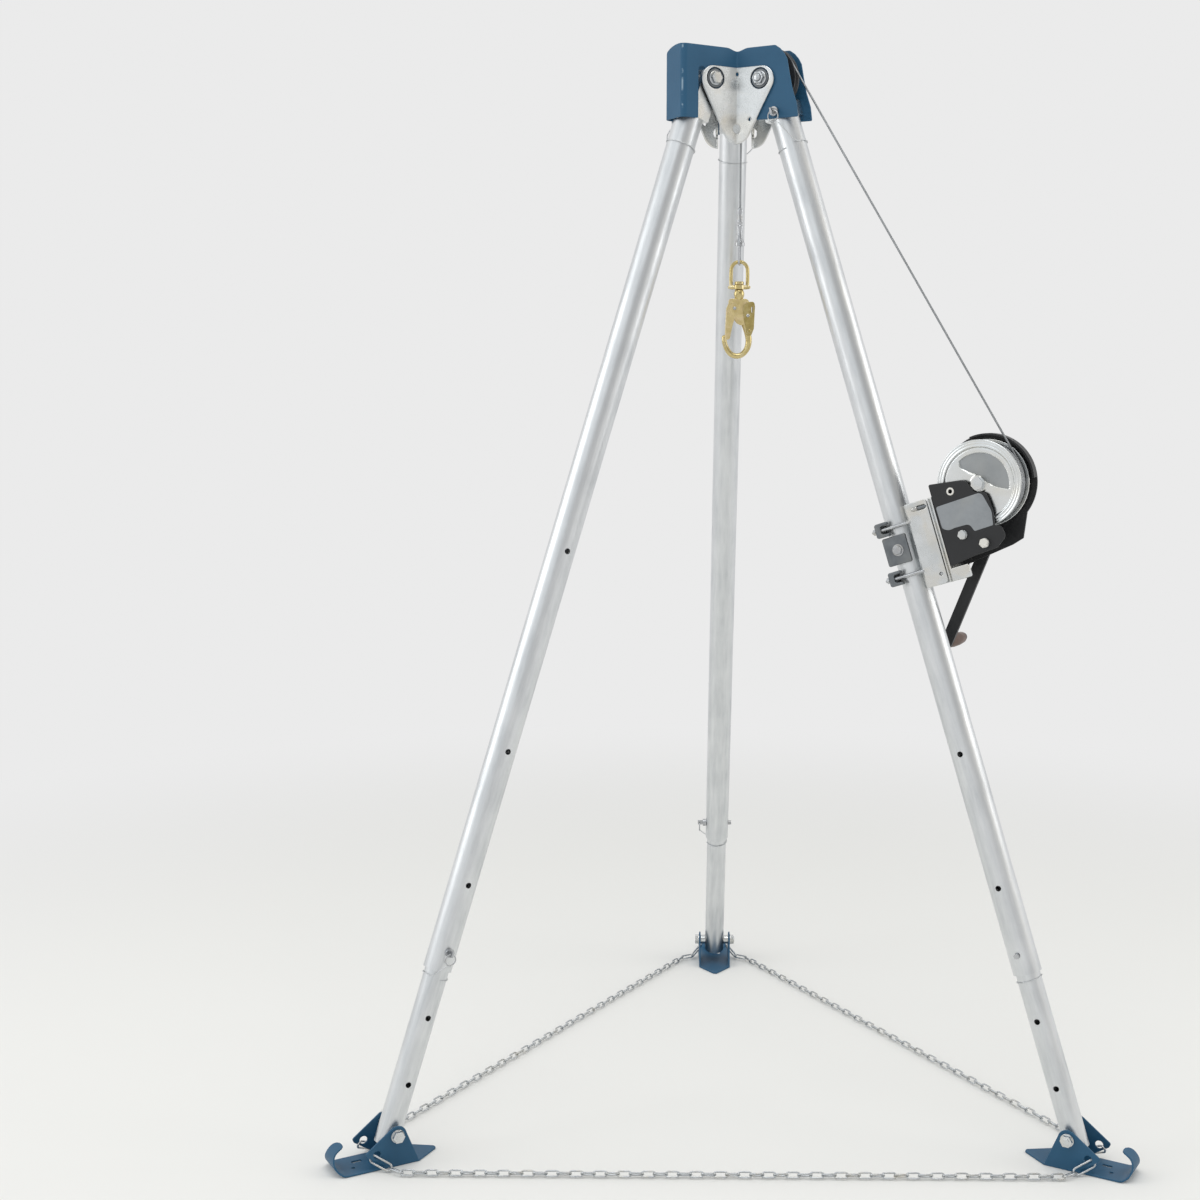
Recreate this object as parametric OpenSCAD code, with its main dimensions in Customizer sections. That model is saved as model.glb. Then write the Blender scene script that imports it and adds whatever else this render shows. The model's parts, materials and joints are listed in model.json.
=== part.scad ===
// Rescue tripod: three telescopic legs on a folded steel head, with a hand winch, lift line and hook.

/* [Legs] */
// Outside diameter of the outer leg tube
tube_od = 63.5; // [58:0.5:70]
// Wall of the outer leg tube
tube_wall = 4; // [3:0.25:5]
// Wall of the inner leg tube
inner_wall = 3.2; // [2.5:0.1:5]
// Running gap between the two tubes, each side
tube_gap = 0.75; // [0.4:0.05:1.2]
// Distance between pin holes along a leg
hole_pitch = 152.4; // [140:0.1:165]
// Lean of a spread leg from upright, degrees
leg_lean = 18.8; // [16:0.1:22]
// Distance down the leg from hinge to lock pin
lock_s = 1995; // [1800:5:2200]
// Length of outer tube below the lock pin
tube_tail = 46; // [35:1:60]
// Distance from the lowest inner hole to the foot pivot
foot_drop = 109; // [90:1:130]
// Diameter of lock pins and stop pins
pin_d = 12; // [10:0.5:13]
// Gap round a lock pin in its hole, each side
pin_gap = 0.5; // [0.3:0.1:0.8]

/* [Head] */
// Distance of each leg hinge from the middle of the head
hinge_r = 80; // [78:0.5:84]
// Offset of the leg axis outside its hinge
leg_off = 13; // [10:0.5:15]
// Half width of a head arm, outside
arm_half = 38; // [37.5:0.5:40]
// Thickness of the head sheet
sheet = 4; // [3.5:0.25:4]
// Reach of a closed head arm
arm_reach = 163; // [162:1:168]
// Height of the head above the hinges
head_up = 58; // [54:1:62]
// Depth of the head below the hinges
head_down = 86; // [82:1:90]
// Thickness of the anchor plates
plate_t = 6; // [5:0.5:8]
// Diameter of the anchor hole at the foot of each plate
anchor_hole_d = 20; // [16:0.5:24]
// Diameter of the hinge bolts
hinge_bolt_d = 16; // [14:0.5:16]
// Running gap of bolts and shafts, each side
run_gap = 0.05; // [0.02:0.01:0.1]
// Outside radius of the line sheave
sheave_r = 70; // [68:0.5:71]

/* [Line and hook] */
// Diameter of the wire line
line_d = 4.8; // [4:0.1:5]
// Depth of the line below the sheave rim, to its middle
line_seat = 4; // [3.5:0.1:5]
// Drop from hinge level to the sleeves of the line eye
line_drop_len = 268; // [240:1:300]

/* [Feet] */
// Height of the foot pivot over the floor
pivot_h = 70; // [66:1:76]
// Half width of a foot, outside
foot_half = 45; // [44:0.5:47]
// Sheet thickness of the feet
foot_t = 4; // [3:0.25:4.5]
// Diameter of the foot pivot bolts
foot_bolt_d = 16; // [14:0.5:16]
// Wire thickness of the foot chains
chain_wire = 4; // [3.5:0.1:4.2]
// Half width of a chain link to the middle of its wire
chain_half = 6; // [5.8:0.1:6.4]
// Gap of a chain link to the next one
chain_gap = 0.4; // [0.3:0.05:0.8]

/* [Winch] */
// Distance of the drum down the leg
drum_s = 987; // [960:1:1010]
// Distance of the drum outside the leg axis
drum_w = 208; // [206:1:212]
// Radius of the drum flanges
flange_r = 93; // [91:0.5:94]
// Radius of the outer wound layer, to the middle of the line
wound_r = 85; // [82:0.5:86]
// Turns in the outer wound layer
wound_turns = 7; // [4:1:7]
// Gap between wound turns
wound_gap = 0.6; // [0.45:0.05:0.7]
// Teeth on the drum gear
gear_teeth = 40; // [40:1:40]
// Teeth on the crank pinion
pinion_teeth = 12; // [12:1:12]
// Module of the winch gears
gear_module = 4.5; // [4.4:0.05:4.5]
// Length of the crank arm between its centres
crank_len = 260; // [230:1:280]
// Length of the crank grip
grip_len = 92; // [80:1:110]

/* [Hidden] */
$fn = 48;

blue = [0.24, 0.42, 0.56];
silver = [0.80, 0.81, 0.82];
zinc = [0.72, 0.73, 0.74];
steel = [0.62, 0.63, 0.65];
gold = [0.80, 0.66, 0.30];
black = [0.09, 0.09, 0.10];
brown = [0.45, 0.26, 0.14];

leg_az = [210, 330, 90];
hand = [1, -1, 1];
tube_id = tube_od - 2 * tube_wall;
inner_od = tube_id - 2 * tube_gap;
hole_d = pin_d + 2 * pin_gap;
foot_s = lock_s + 2 * hole_pitch + foot_drop;
foot_r = hinge_r + leg_off * cos(leg_lean) + foot_s * sin(leg_lean);
hinge_z = pivot_h + foot_s * cos(leg_lean) - leg_off * sin(leg_lean);
tube_top = 92;
tube_end = lock_s + tube_tail;
inner_top = lock_s - 4 * hole_pitch - 204;
inner_end = foot_s + 32;
arm_in = arm_half - sheet;
lug_out = arm_in - 1;
lug_in = 20;
lug_r = 26;
throat_r = sheave_r + 2;
stop_x = 11;
stop_z = -80;
stop_rho = sqrt(stop_x * stop_x + stop_z * stop_z);
stop_ang = atan2(-stop_z, stop_x);
fold_max = 14;
base_reach = 112;
curl_r = 29;
toe_reach = base_reach + curl_r;
toe_side = 13;
toe_edge = base_reach + sqrt(curl_r * curl_r - (curl_r - toe_side) * (curl_r - toe_side));
// Middle of the floor outline, so that the whole stands over the origin
back_reach = foot_r + toe_reach;
front_reach = (foot_r + toe_edge) / 2 + foot_half * cos(30);
axis_y = (front_reach - back_reach) / 2;
line_r = sheave_r - line_seat;
hang_u = hinge_r - line_r;
hang_x = hang_u * cos(30);
hang_y = -hang_u * sin(30);
drum_rel = [drum_w + leg_off, -drum_s];
drum_dist = norm(drum_rel);
drum_dir = drum_rel / drum_dist;
drum_side = [-drum_dir[1], drum_dir[0]];
tan_c = (line_r - wound_r) / drum_dist;
tan_n = tan_c * drum_dir + sqrt(1 - tan_c * tan_c) * drum_side;
tan_up = [-tan_n[1], tan_n[0]];
tan_top = line_r * tan_n;
tan_low = drum_rel + wound_r * tan_n;
tan_ang = atan2(tan_n[1], tan_n[0]);
gear_pr = gear_module * gear_teeth / 2;
pinion_pr = gear_module * pinion_teeth / 2;
centre_d = gear_pr + pinion_pr;
crank_dir = [0.944, -0.33] / norm([0.944, -0.33]);
crank_s = drum_s + centre_d * crank_dir[0];
crank_w = drum_w + centre_d * crank_dir[1];
arm_ang = atan2(0.64, 0.768);
bracket_top = drum_s - 4;
bracket_end = drum_s + 183;
bracket_half = 42;
rod_y = bracket_half + 8;
base_w = tube_od / 2 + 66;
shaft_d = 20;
wound_pitch = line_d + wound_gap;
exit_y = 14;
arm_y = rod_y + 12;

module whole() translate([0, axis_y, 0]) children();
module arm(i) whole() rotate([0, 0, leg_az[i]]) children();
module leg(i) arm(i) translate([hinge_r, 0, hinge_z]) rotate([0, -leg_lean, 0]) translate([leg_off, 0, 0]) children();
module foot_at(i) arm(i) translate([foot_r, 0, pivot_h]) children();
module hook_at() whole() translate([hang_x, hang_y, hinge_z]) children();
// Round bar along y from a to b
module bar(d, a, b) translate([0, a, 0]) rotate([-90, 0, 0]) cylinder(d = d, h = b - a);
module hex(af, a, b) translate([0, a, 0]) rotate([-90, 0, 0]) cylinder(r = af / sqrt(3), h = b - a, $fn = 6);
// Flat outline in x and z, from a to b along y
module slab(a, b) translate([0, b, 0]) rotate([90, 0, 0]) linear_extrude(b - a) children();
module torus(r, d) rotate_extrude() translate([r, 0]) circle(d = d);

function unit(v) = v / norm(v);
function tangent(p, i) = unit(p[min(i + 1, len(p) - 1)] - p[max(i - 1, 0)]);
function across(t, n) = unit(n - (n * t) * t);
function normals(p, i, n) = i == len(p) ? [] : let (m = across(tangent(p, i), n)) concat([m], normals(p, i + 1, m));
module sweep(p, r, sides, start) {
  n = normals(p, 0, start);
  k = len(p);
  pts = [for (i = [0:k - 1]) for (j = [0:sides - 1])
    p[i] + r * (cos(360 * j / sides) * n[i] + sin(360 * j / sides) * cross(tangent(p, i), n[i]))];
  walls = [for (i = [0:k - 2]) for (j = [0:sides - 1]) for (h = [0:1]) let (a = i * sides + j,
    b = i * sides + (j + 1) % sides) h == 0 ? [a, a + sides, b] : [b, a + sides, b + sides]];
  low = [for (j = [0:sides - 1]) j];
  high = [for (j = [sides - 1:-1:0]) (k - 1) * sides + j];
  polyhedron(pts, concat(walls, [low], [high]), convexity = 8);
}

// A closed head arm from above: a sheet bent round its outer end
module arm_2d(reach, half, corner) {
  translate([0, -half]) square([reach - corner, 2 * half]);
  translate([0, -half + corner]) square([reach, 2 * (half - corner)]);
  for (k = [-1, 1]) translate([reach - corner, k * (half - corner)]) circle(corner);
}
root_u = arm_half / tan(60) - 1.4;
module closed_arm() difference() {
  translate([0, 0, -head_down]) linear_extrude(head_down + head_up) difference() {
    arm_2d(arm_reach, arm_half, 15);
    arm_2d(arm_reach - sheet, arm_in, 15 - sheet);
    translate([-50, -60]) square([50 + root_u, 120]);
  }
  difference() {
    translate([arm_reach - 24, -60, head_up - 24]) cube([60, 120, 60]);
    translate([arm_reach - 29, 0, head_up - 29]) bar(60, -61, 61);
  }
}
// The arm over the sheave is two flared cheeks without an end
module open_arm() for (k = [-1, 1]) slab(k > 0 ? arm_in : -arm_half, k > 0 ? arm_half : -arm_in)
  polygon([[root_u, head_up], [118, head_up], [126, head_up - 8], [136, 42], [143, 33], [149, 6],
    [156, -25], [167, -57], [171, -head_down], [root_u, -head_down]]);
// The cheek beside a leg is cut away, apart from a tab round the hinge bolt
module window(k, edge) difference() {
  translate([0, k > 0 ? arm_in - 0.5 : -arm_half - 1, -head_down - 1])
    cube([edge, sheet + 1.5, head_down + (k > 0 ? 23 : 23.6)]);
  translate([hinge_r - 24, -60, 0]) cube([48, 120, 30]);
  translate([hinge_r, 0, 0]) bar(48, -60, 60);
}
module head_frame() color(blue) whole() translate([0, 0, hinge_z]) difference() {
  for (i = [0:2]) rotate([0, 0, leg_az[i]]) difference() {
    if (i == 1) open_arm();
    else closed_arm();
    window(1, 120);
    window(-1, 104);
    translate([hinge_r, 0, 0]) bar(hinge_bolt_d + 0.4, -60, 60);
    translate([hinge_r, 0, 0]) rotate([0, -leg_lean, 0]) translate([stop_x, 0, stop_z]) bar(hole_d, -60, -20);
  }
  for (i = [0:2]) rotate([0, 0, leg_az[i] + 60]) translate([80, 0, head_up + 27]) rotate([0, -90, 0])
    cylinder(r = 39, h = 60);
}

bolt_v = hinge_r - arm_half / tan(60);
plate_v = bolt_v + 4;
module shield() difference() {
  intersection() {
    union() {
      translate([plate_v, -5]) circle(29);
      translate([0, -103]) circle(29);
      polygon([[0, 24], [plate_v, 24], [plate_v + 24.4, -20.6], [24.4, -118.6], [0, -103]]);
      translate([0, -103]) square([plate_v, 98]);
    }
    translate([0, -140]) square([120, 180]);
    polygon([[0, 24], [plate_v, 24], [plate_v + 40, 24], [plate_v + 40, -1], [plate_v + 24.4, -20.6],
      [24.4, -118.6], [30, -140], [0, -140]]);
  }
  translate([bolt_v, 0]) circle(d = 44);
}
module anchor_plate(az) color(zinc) whole() translate([0, 0, hinge_z]) rotate([0, 0, az]) difference() {
  for (k = [0, 1]) mirror([0, k, 0]) translate([arm_half / sin(60), 0, 0]) rotate([0, 0, 60])
    rotate([90, 0, 0]) linear_extrude(plate_t) shield();
  translate([20, 0, -98]) rotate([0, 90, 0]) cylinder(d = anchor_hole_d, h = 60);
  translate([20, 0, 12]) rotate([0, 90, 0]) cylinder(d = 8, h = 60);
  translate([arm_half / sin(60), 0, 0]) rotate([0, 0, 60]) translate([38, 0, -80]) bar(8, -10, 10);
}
module anchor_plate_front() anchor_plate(270);
module anchor_plate_right() anchor_plate(30);
module anchor_plate_left() anchor_plate(150);

// Washers and hexagons of the hinge bolts
washer_d = 40;
washer_t = 4;
hinge_hex = 24;
module hinge_bolts() color(zinc) for (i = [0:2]) arm(i) translate([hinge_r, 0, hinge_z]) {
  bar(hinge_bolt_d, -arm_half - washer_t - 16, arm_half + washer_t);
  hex(hinge_hex, arm_half + washer_t, arm_half + washer_t + 10);
}
module hinge_nuts() color(zinc) for (i = [0:2]) arm(i) translate([hinge_r, 0, hinge_z]) difference() {
  union() {
    bar(washer_d, arm_half, arm_half + washer_t);
    bar(washer_d, -arm_half - washer_t, -arm_half);
    hex(hinge_hex, -arm_half - washer_t - 13, -arm_half - washer_t);
  }
  bar(hinge_bolt_d, -2 * arm_half - 4, 2 * arm_half + 4);
}
module hinge_sleeves() color(steel) for (i = [0:2]) arm(i) translate([hinge_r, 0, hinge_z]) difference() {
  bar(30, 0.3 - lug_in, lug_in - 0.3);
  bar(hinge_bolt_d, -40, 40);
}

module leg_tube(i) color(silver) leg(i) difference() {
  translate([0, 0, -tube_end]) cylinder(d = tube_od, h = tube_end - tube_top);
  translate([0, 0, -tube_end - 1]) cylinder(d = tube_id, h = tube_end);
  for (k = [0, 1, 3, 6]) translate([0, 0, k * hole_pitch - lock_s]) bar(hole_d, -50, 50);
}
module leg_tube_left() leg_tube(0);
module leg_tube_right() leg_tube(1);
module leg_tube_rear() leg_tube(2);

module stop_slot() translate([-leg_off, 0, 0]) {
  for (a = [0, -fold_max - 1]) rotate([0, a, 0]) translate([stop_x, 0, stop_z]) bar(hole_d, -lug_out - 1, -lug_in + 1);
  translate([0, -lug_out - 1, 0]) rotate([-90, 0, 0]) rotate([0, 0, stop_ang - fold_max - 1])
    rotate_extrude(angle = fold_max + 1) translate([stop_rho - hole_d / 2 + 0.1, 0])
    square([hole_d - 0.2, lug_out - lug_in + 1.6]);
}
module leg_fork(i) color(zinc) leg(i) difference() {
  union() {
    translate([0, 0, -172]) cylinder(d = tube_id, h = 100);
    slab(-lug_out, lug_out) {
      polygon([[-tube_od / 2, 0], [-tube_od / 2, -tube_top], [tube_od / 2, -tube_top], [tube_od / 2, -58],
        [lug_r - leg_off - 0.1, -58], [lug_r - leg_off - 0.1, 0]]);
      translate([-leg_off, 0]) circle(lug_r);
    }
  }
  translate([-leg_off, 0, 0]) bar(2 * throat_r, -lug_in, lug_in);
  translate([-60, -lug_in, 0]) cube([120, 2 * lug_in, 60]);
  translate([-60, -lug_in, -60]) cube([120, 2 * lug_in, 60]);
  translate([-leg_off, 0, 0]) bar(hinge_bolt_d + 2 * run_gap, -50, 50);
  stop_slot();
}
module leg_fork_left() leg_fork(0);
module leg_fork_right() leg_fork(1);
module leg_fork_rear() leg_fork(2);

module inner_tube(i) color(silver) leg(i) difference() {
  translate([0, 0, -inner_end]) cylinder(d = inner_od, h = inner_end - inner_top);
  translate([0, 0, -inner_end - 1]) cylinder(d = inner_od - 2 * inner_wall, h = inner_end);
  for (k = [-2:4]) translate([0, 0, k * hole_pitch - lock_s]) bar(hole_d, -50, 50);
  translate([0, 0, -foot_s]) bar(foot_bolt_d, -50, 50);
}
module inner_tube_left() inner_tube(0);
module inner_tube_right() inner_tube(1);
module inner_tube_rear() inner_tube(2);

foot_in = foot_half - foot_t;
module foot_bolt(i) color(zinc) foot_at(i) {
  bar(foot_bolt_d, -foot_half - 14, foot_half + 3);
  for (k = [-1, 1]) difference() {
    bar(26, k > 0 ? inner_od / 2 : 0.3 - foot_in, k > 0 ? foot_in - 0.3 : -inner_od / 2);
    bar(foot_bolt_d, -60, 60);
  }
  difference() {
    union() {
      bar(30, foot_half + 0.3, foot_half + 3);
      hex(24, foot_half + 3, foot_half + 12);
    }
    bar(foot_bolt_d, 0, foot_half + 3);
  }
  difference() {
    union() {
      bar(30, -foot_half - 3, -foot_half - 0.3);
      hex(24, -foot_half - 12, -foot_half - 3);
    }
    bar(foot_bolt_d, -80, 0);
  }
}
module foot_bolt_left() foot_bolt(0);
module foot_bolt_right() foot_bolt(1);
module foot_bolt_rear() foot_bolt(2);

chain_hole = [47, -34];
module foot_side() difference() {
  union() {
    circle(22);
    polygon([[-20, 9], [-30, -16], [-50, -pivot_h], [31, -pivot_h], [31, -62], [69, -35], [72, -31], [72, -24],
      [12.5, 18.1], [0, 5]]);
  }
  circle(d = foot_bolt_d + 2 * run_gap);
  translate(chain_hole) circle(d = 18);
}
module foot_base() difference() {
  polygon([[base_reach, foot_half], [-50, foot_half], [-104, 6], [-106, 0], [-104, -6], [-50, -foot_half],
    [base_reach, -foot_half]]);
  for (k = [0, 1]) translate([66 + 16 * k, -15]) circle(d = 9);
  translate([66, -19.5]) square([16, 9]);
  translate([91, 13]) circle(d = 8);
}
module toe_shape() {
  translate([-foot_half, -pivot_h - 1]) square([2 * foot_half, toe_side + 1]);
  polygon([[-foot_half, -pivot_h + toe_side], [foot_half, -pivot_h + toe_side], [20, -26], [-20, -26]]);
  translate([0, -26]) circle(20);
}
module foot(i) color(blue) foot_at(i) mirror([0, hand[i] > 0 ? 0 : 1, 0]) {
  for (k = [-1, 1]) slab(k > 0 ? foot_in : -foot_half, k > 0 ? foot_half : -foot_in) foot_side();
  translate([0, 0, -pivot_h]) linear_extrude(foot_t) foot_base();
  intersection() {
    translate([base_reach, foot_half, curl_r - pivot_h]) rotate([90, 0, 0]) rotate([0, 0, -90])
      rotate_extrude(angle = 190) translate([curl_r - foot_t, 0]) square([foot_t, 2 * foot_half]);
    translate([base_reach - 40, 0, 0]) rotate([90, 0, 90]) linear_extrude(90) toe_shape();
  }
}
module foot_left() foot(0);
module foot_right() foot(1);
module foot_rear() foot(2);

ring_r = 12;
ring_d = 2.8;
ring_y = 9;
module pin_tab() difference() {
  translate([-2, 0, -6]) cube([4, 14, 12]);
  translate([-5, ring_y, 0]) rotate([0, 90, 0]) cylinder(d = 5, h = 10);
}
module pin_ring() translate([0, ring_y, -ring_r]) rotate([90, 0, 0]) torus(ring_r, ring_d);
lock_seat = tube_od / 2 + 1;
module lock_pin(i) color(steel) leg(i) translate([0, 0, -lock_s]) {
  bar(pin_d, -tube_od / 2 - 8, lock_seat);
  bar(20, lock_seat, lock_seat + 8);
  translate([0, lock_seat + 8, 0]) pin_tab();
  translate([0, lock_seat + 8, 0]) pin_ring();
}
module lock_pin_left() lock_pin(0);
module lock_pin_right() lock_pin(1);
module lock_pin_rear() lock_pin(2);
stop_seat = arm_half + 0.5;
module stop_pin(i) color(steel) leg(i) translate([stop_x - leg_off, 0, stop_z]) mirror([0, 1, 0]) {
  bar(pin_d, lug_in + 1, stop_seat);
  bar(20, stop_seat, stop_seat + 8);
  translate([0, stop_seat + 8, 0]) pin_tab();
  translate([0, stop_seat + 8, 0]) pin_ring();
}
module stop_pin_left() stop_pin(0);
module stop_pin_right() stop_pin(1);
module stop_pin_rear() stop_pin(2);

// Wire lanyards, as points in the frame of the leg
cord_r = 1.2;
lock_ring_low = -lock_s - 2 * ring_r - ring_d / 2 - cord_r - 0.4;
lock_y = lock_seat + 8 + ring_y;
lock_loop = inner_od / 2 + 4;
lock_path = concat([[-5, lock_y, lock_ring_low], [4, lock_y, lock_ring_low], [12, 44, lock_ring_low - 12]],
  [for (a = [50:-35:-265]) [lock_loop * cos(a), lock_loop * sin(a), -tube_end - 12 + (a - 50) / 40]]);
stop_y = stop_seat + 8 + ring_y;
stop_ring_low = stop_z - 2 * ring_r - ring_d / 2 - cord_r - 0.4;
stop_loop = tube_od / 2 + 4;
stop_path = concat([[-5, -stop_y, stop_ring_low], [4, -stop_y, stop_ring_low], [14, -49, stop_ring_low - 22]],
  [for (a = [-50:35:265]) [stop_loop * cos(a), stop_loop * sin(a), stop_ring_low - 46 - (a + 50) / 40]]);
module lock_lanyard(i) color(steel) leg(i) sweep(lock_path, cord_r, 8, [0, 0, 1]);
module stop_lanyard(i) color(steel) leg(i) sweep(stop_path, cord_r, 8, [0, 0, 1]);
module lock_lanyard_left() lock_lanyard(0);
module lock_lanyard_right() lock_lanyard(1);
module lock_lanyard_rear() lock_lanyard(2);
module stop_lanyard_left() stop_lanyard(0);
module stop_lanyard_right() stop_lanyard(1);
module stop_lanyard_rear() stop_lanyard(2);

module sheave() color(black) leg(1) translate([-leg_off, 0, 0]) rotate([90, 0, 0]) rotate_extrude()
  difference() {
    polygon([[15 + run_gap, -19], [24, -19], [27, -6], [54, -5], [57, -11], [sheave_r, -11], [sheave_r, 11],
      [57, 11], [54, 5], [27, 6], [24, 19], [15 + run_gap, 19]]);
    translate([line_r, 0]) circle(line_d / 2 + 0.4);
    polygon([[line_r, -line_d / 2 - 0.4], [sheave_r + 1, -8], [sheave_r + 1, 8], [line_r, line_d / 2 + 0.4]]);
  }

// Up-line from drum to sheave
up_from = [tan_low[0] + (line_d + 0.4) * tan_up[0], exit_y, tan_low[1] + (line_d + 0.4) * tan_up[1]];
up_to = [tan_top[0], 0, tan_top[1]];
up_run = up_to - up_from;
module line_up() color(steel) leg(1) translate([-leg_off, 0, 0]) translate(up_from)
  rotate([0, acos(up_run[2] / norm(up_run)), atan2(up_run[1], up_run[0])])
  cylinder(d = line_d, h = norm(up_run) - 0.2);
module line_drop() color(steel) arm(1) translate([hinge_r, 0, hinge_z]) {
  rotate([90, 0, 0]) rotate([0, 0, tan_ang + leg_lean]) rotate_extrude(angle = 180 - tan_ang - leg_lean)
    translate([line_r, 0]) circle(d = line_d);
  translate([-line_r, 0, -line_drop_len]) cylinder(d = line_d - 0.1, h = line_drop_len + 1);
}

loop_r = 8;
loop_z = -line_drop_len - 115.5;
module line_eye() color(steel) hook_at() rotate([0, 0, 75]) {
  translate([0, 0, -line_drop_len]) rotate_extrude() polygon([[0, 0], [6, 0], [7, -4], [6, -18], [7, -31], [5, -34],
    [5, -36], [7, -39], [6, -54], [7, -66], [11, -76], [11, -82], [0, -82]]);
  for (k = [-1, 1]) translate([k * loop_r, 0, loop_z]) cylinder(d = line_d, h = 115.5 - 82);
  translate([0, 0, loop_z]) rotate([90, 0, 0]) rotate([0, 0, 180]) rotate_extrude(angle = 180)
    translate([loop_r, 0]) circle(d = line_d);
}
eye_r = 19;
eye_d = 8;
eye_z = loop_z - loop_r + line_d / 2 + 0.4 + eye_d / 2 - eye_r;
eye_low = eye_z - 23;
neck_d = 12;
module swivel_eye() color(gold) hook_at() difference() {
  union() {
    translate([0, 0, eye_z]) rotate([90, 0, 0]) rotate_extrude(angle = 180) translate([eye_r, 0]) circle(d = eye_d);
    for (k = [-1, 1]) translate([k * eye_r, 0, eye_low - 6]) cylinder(d = eye_d, h = eye_z - eye_low + 6);
    translate([-eye_r, -4, eye_low - 12]) cube([2 * eye_r, 8, 12]);
    for (k = [-1, 1]) translate([k * eye_r, 0, eye_low - 12]) cylinder(d = eye_d, h = 12);
    translate([0, 0, eye_low - 12]) cylinder(d = 24, h = 12);
  }
  translate([0, 0, eye_low - 20]) cylinder(d = neck_d + 2 * run_gap, h = 40);
}
body_top = eye_low - 12 - 0.4 - 30;
bow_z = body_top - 94;
gate_at = [-9, body_top - 21];
lock_at = [21, body_top - 36];
module hook_body() color(gold) hook_at() difference() {
  union() {
    translate([0, 0, body_top]) cylinder(d = 22, h = 30);
    translate([0, 0, body_top]) cylinder(d = neck_d, h = 30 + 0.4 + 12 + 0.4 + 6);
    translate([0, 0, eye_low + 0.4]) cylinder(d = 20, h = 6);
    translate([-22, -7, body_top - 44]) cube([52, 14, 44]);
    translate([20, -7, bow_z]) cube([15, 14, 60]);
    slab(-7, 7) difference() {
      translate([-2, bow_z]) circle(37);
      translate([-2, bow_z]) circle(22);
      translate([-60, bow_z]) square([120, 60]);
    }
    translate([-39, -7, bow_z - 0.1]) cube([15, 14, 6.1]);
    translate([-31.5, 0, bow_z + 6]) rotate([90, 0, 0]) cylinder(d = 15, h = 14, center = true);
  }
  translate([-60, -4, body_top - 60]) cube([120, 8, 50]);
  translate([18, -4, body_top - 76]) cube([40, 8, 50]);
  translate([-44, -4, bow_z + 3]) cube([26, 8, 20]);
  for (p = [gate_at, lock_at]) translate([p[0], 0, p[1]]) bar(6, -20, 20);
}
module hook_rivets() color(steel) hook_at() for (p = [gate_at, lock_at]) translate([p[0], 0, p[1]]) {
  bar(6, -7, 7);
  bar(10, 7, 8.5);
  bar(10, -8.5, -7);
}
module hook_gate() color(gold) hook_at() difference() {
  union() {
    translate([gate_at[0], 0, gate_at[1]]) bar(16, -3.5, 3.5);
    slab(-3.5, 3.5) polygon([gate_at + [-7, 3], gate_at + [7, 3], gate_at + [7.8, -4], [-22, bow_z + 14],
      [-29, bow_z + 9], [-36, bow_z + 9], [-37, bow_z + 14]]);
  }
  translate([gate_at[0], 0, gate_at[1]]) bar(6 + 2 * run_gap, -9, 9);
}
module hook_lock() color(gold) hook_at() difference() {
  union() {
    translate([lock_at[0], 0, lock_at[1]]) bar(16, -3.5, 3.5);
    slab(-3.5, 3.5) polygon([lock_at + [-7, -3], lock_at + [-4, 22], lock_at + [16, 24], lock_at + [19, 14],
      lock_at + [17, -30], lock_at + [12, -37], lock_at + [7, -30], lock_at + [4, -7]]);
  }
  translate([lock_at[0], 0, lock_at[1]]) bar(6 + 2 * run_gap, -9, 9);
  translate([lock_at[0] + 11, 0, lock_at[1] + 12]) bar(7, -9, 9);
}

// Winch, in the frame of the right leg: x outside the leg axis, z up the leg
module at_drum() leg(1) translate([drum_w, 0, -drum_s]) children();
module at_crank() leg(1) translate([crank_w, 0, -crank_s]) children();
// Heights of the two pairs of clamp rods down the leg
rod_s = [1021, 1131];
module winch_bracket() color(zinc) leg(1) difference() {
  union() {
    translate([tube_od / 2, -rod_y - 7, -bracket_end]) cube([5, 2 * rod_y + 14, bracket_end - bracket_top]);
    for (k = [-1, 1]) translate([tube_od / 2, k > 0 ? bracket_half - 5 : -bracket_half, -bracket_end])
      cube([60, 5, bracket_end - bracket_top]);
  }
  for (s = rod_s) for (k = [-1, 1]) translate([tube_od / 2 - 1, rod_y * k, -s]) rotate([0, 90, 0])
    cylinder(d = 9, h = 10);
  translate([63, 0, -1000]) bar(14, -bracket_half - 18, 0);
  translate([79, 0, -1000]) bar(8, -bracket_half - 18, 0);
  translate([78, 0, -1149]) bar(14, -bracket_half - 18, 0);
}
module winch_base() color(zinc) leg(1) {
  translate([tube_od / 2 + 60, -bracket_half, -bracket_end]) cube([6, 2 * bracket_half, bracket_end - bracket_top]);
  translate([base_w, -bracket_half, -bracket_end]) cube([36, 5, 26]);
}
module leg_clamp() color(zinc) leg(1) {
  for (s = rod_s) difference() {
    translate([-tube_od / 2 - 10, -rod_y - 7, -s - 11]) cube([10, 2 * rod_y + 14, 22]);
    for (k = [-1, 1]) translate([-tube_od / 2 - 11, rod_y * k, -s]) rotate([0, 90, 0]) cylinder(d = 9, h = 12);
  }
  difference() {
    translate([-27, -tube_od / 2 - 5, -lock_s + 6 * hole_pitch - 36]) cube([54, 5, 72]);
    translate([0, 0, -lock_s + 6 * hole_pitch]) bar(hole_d, -bracket_half - 8, 0);
  }
}
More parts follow.
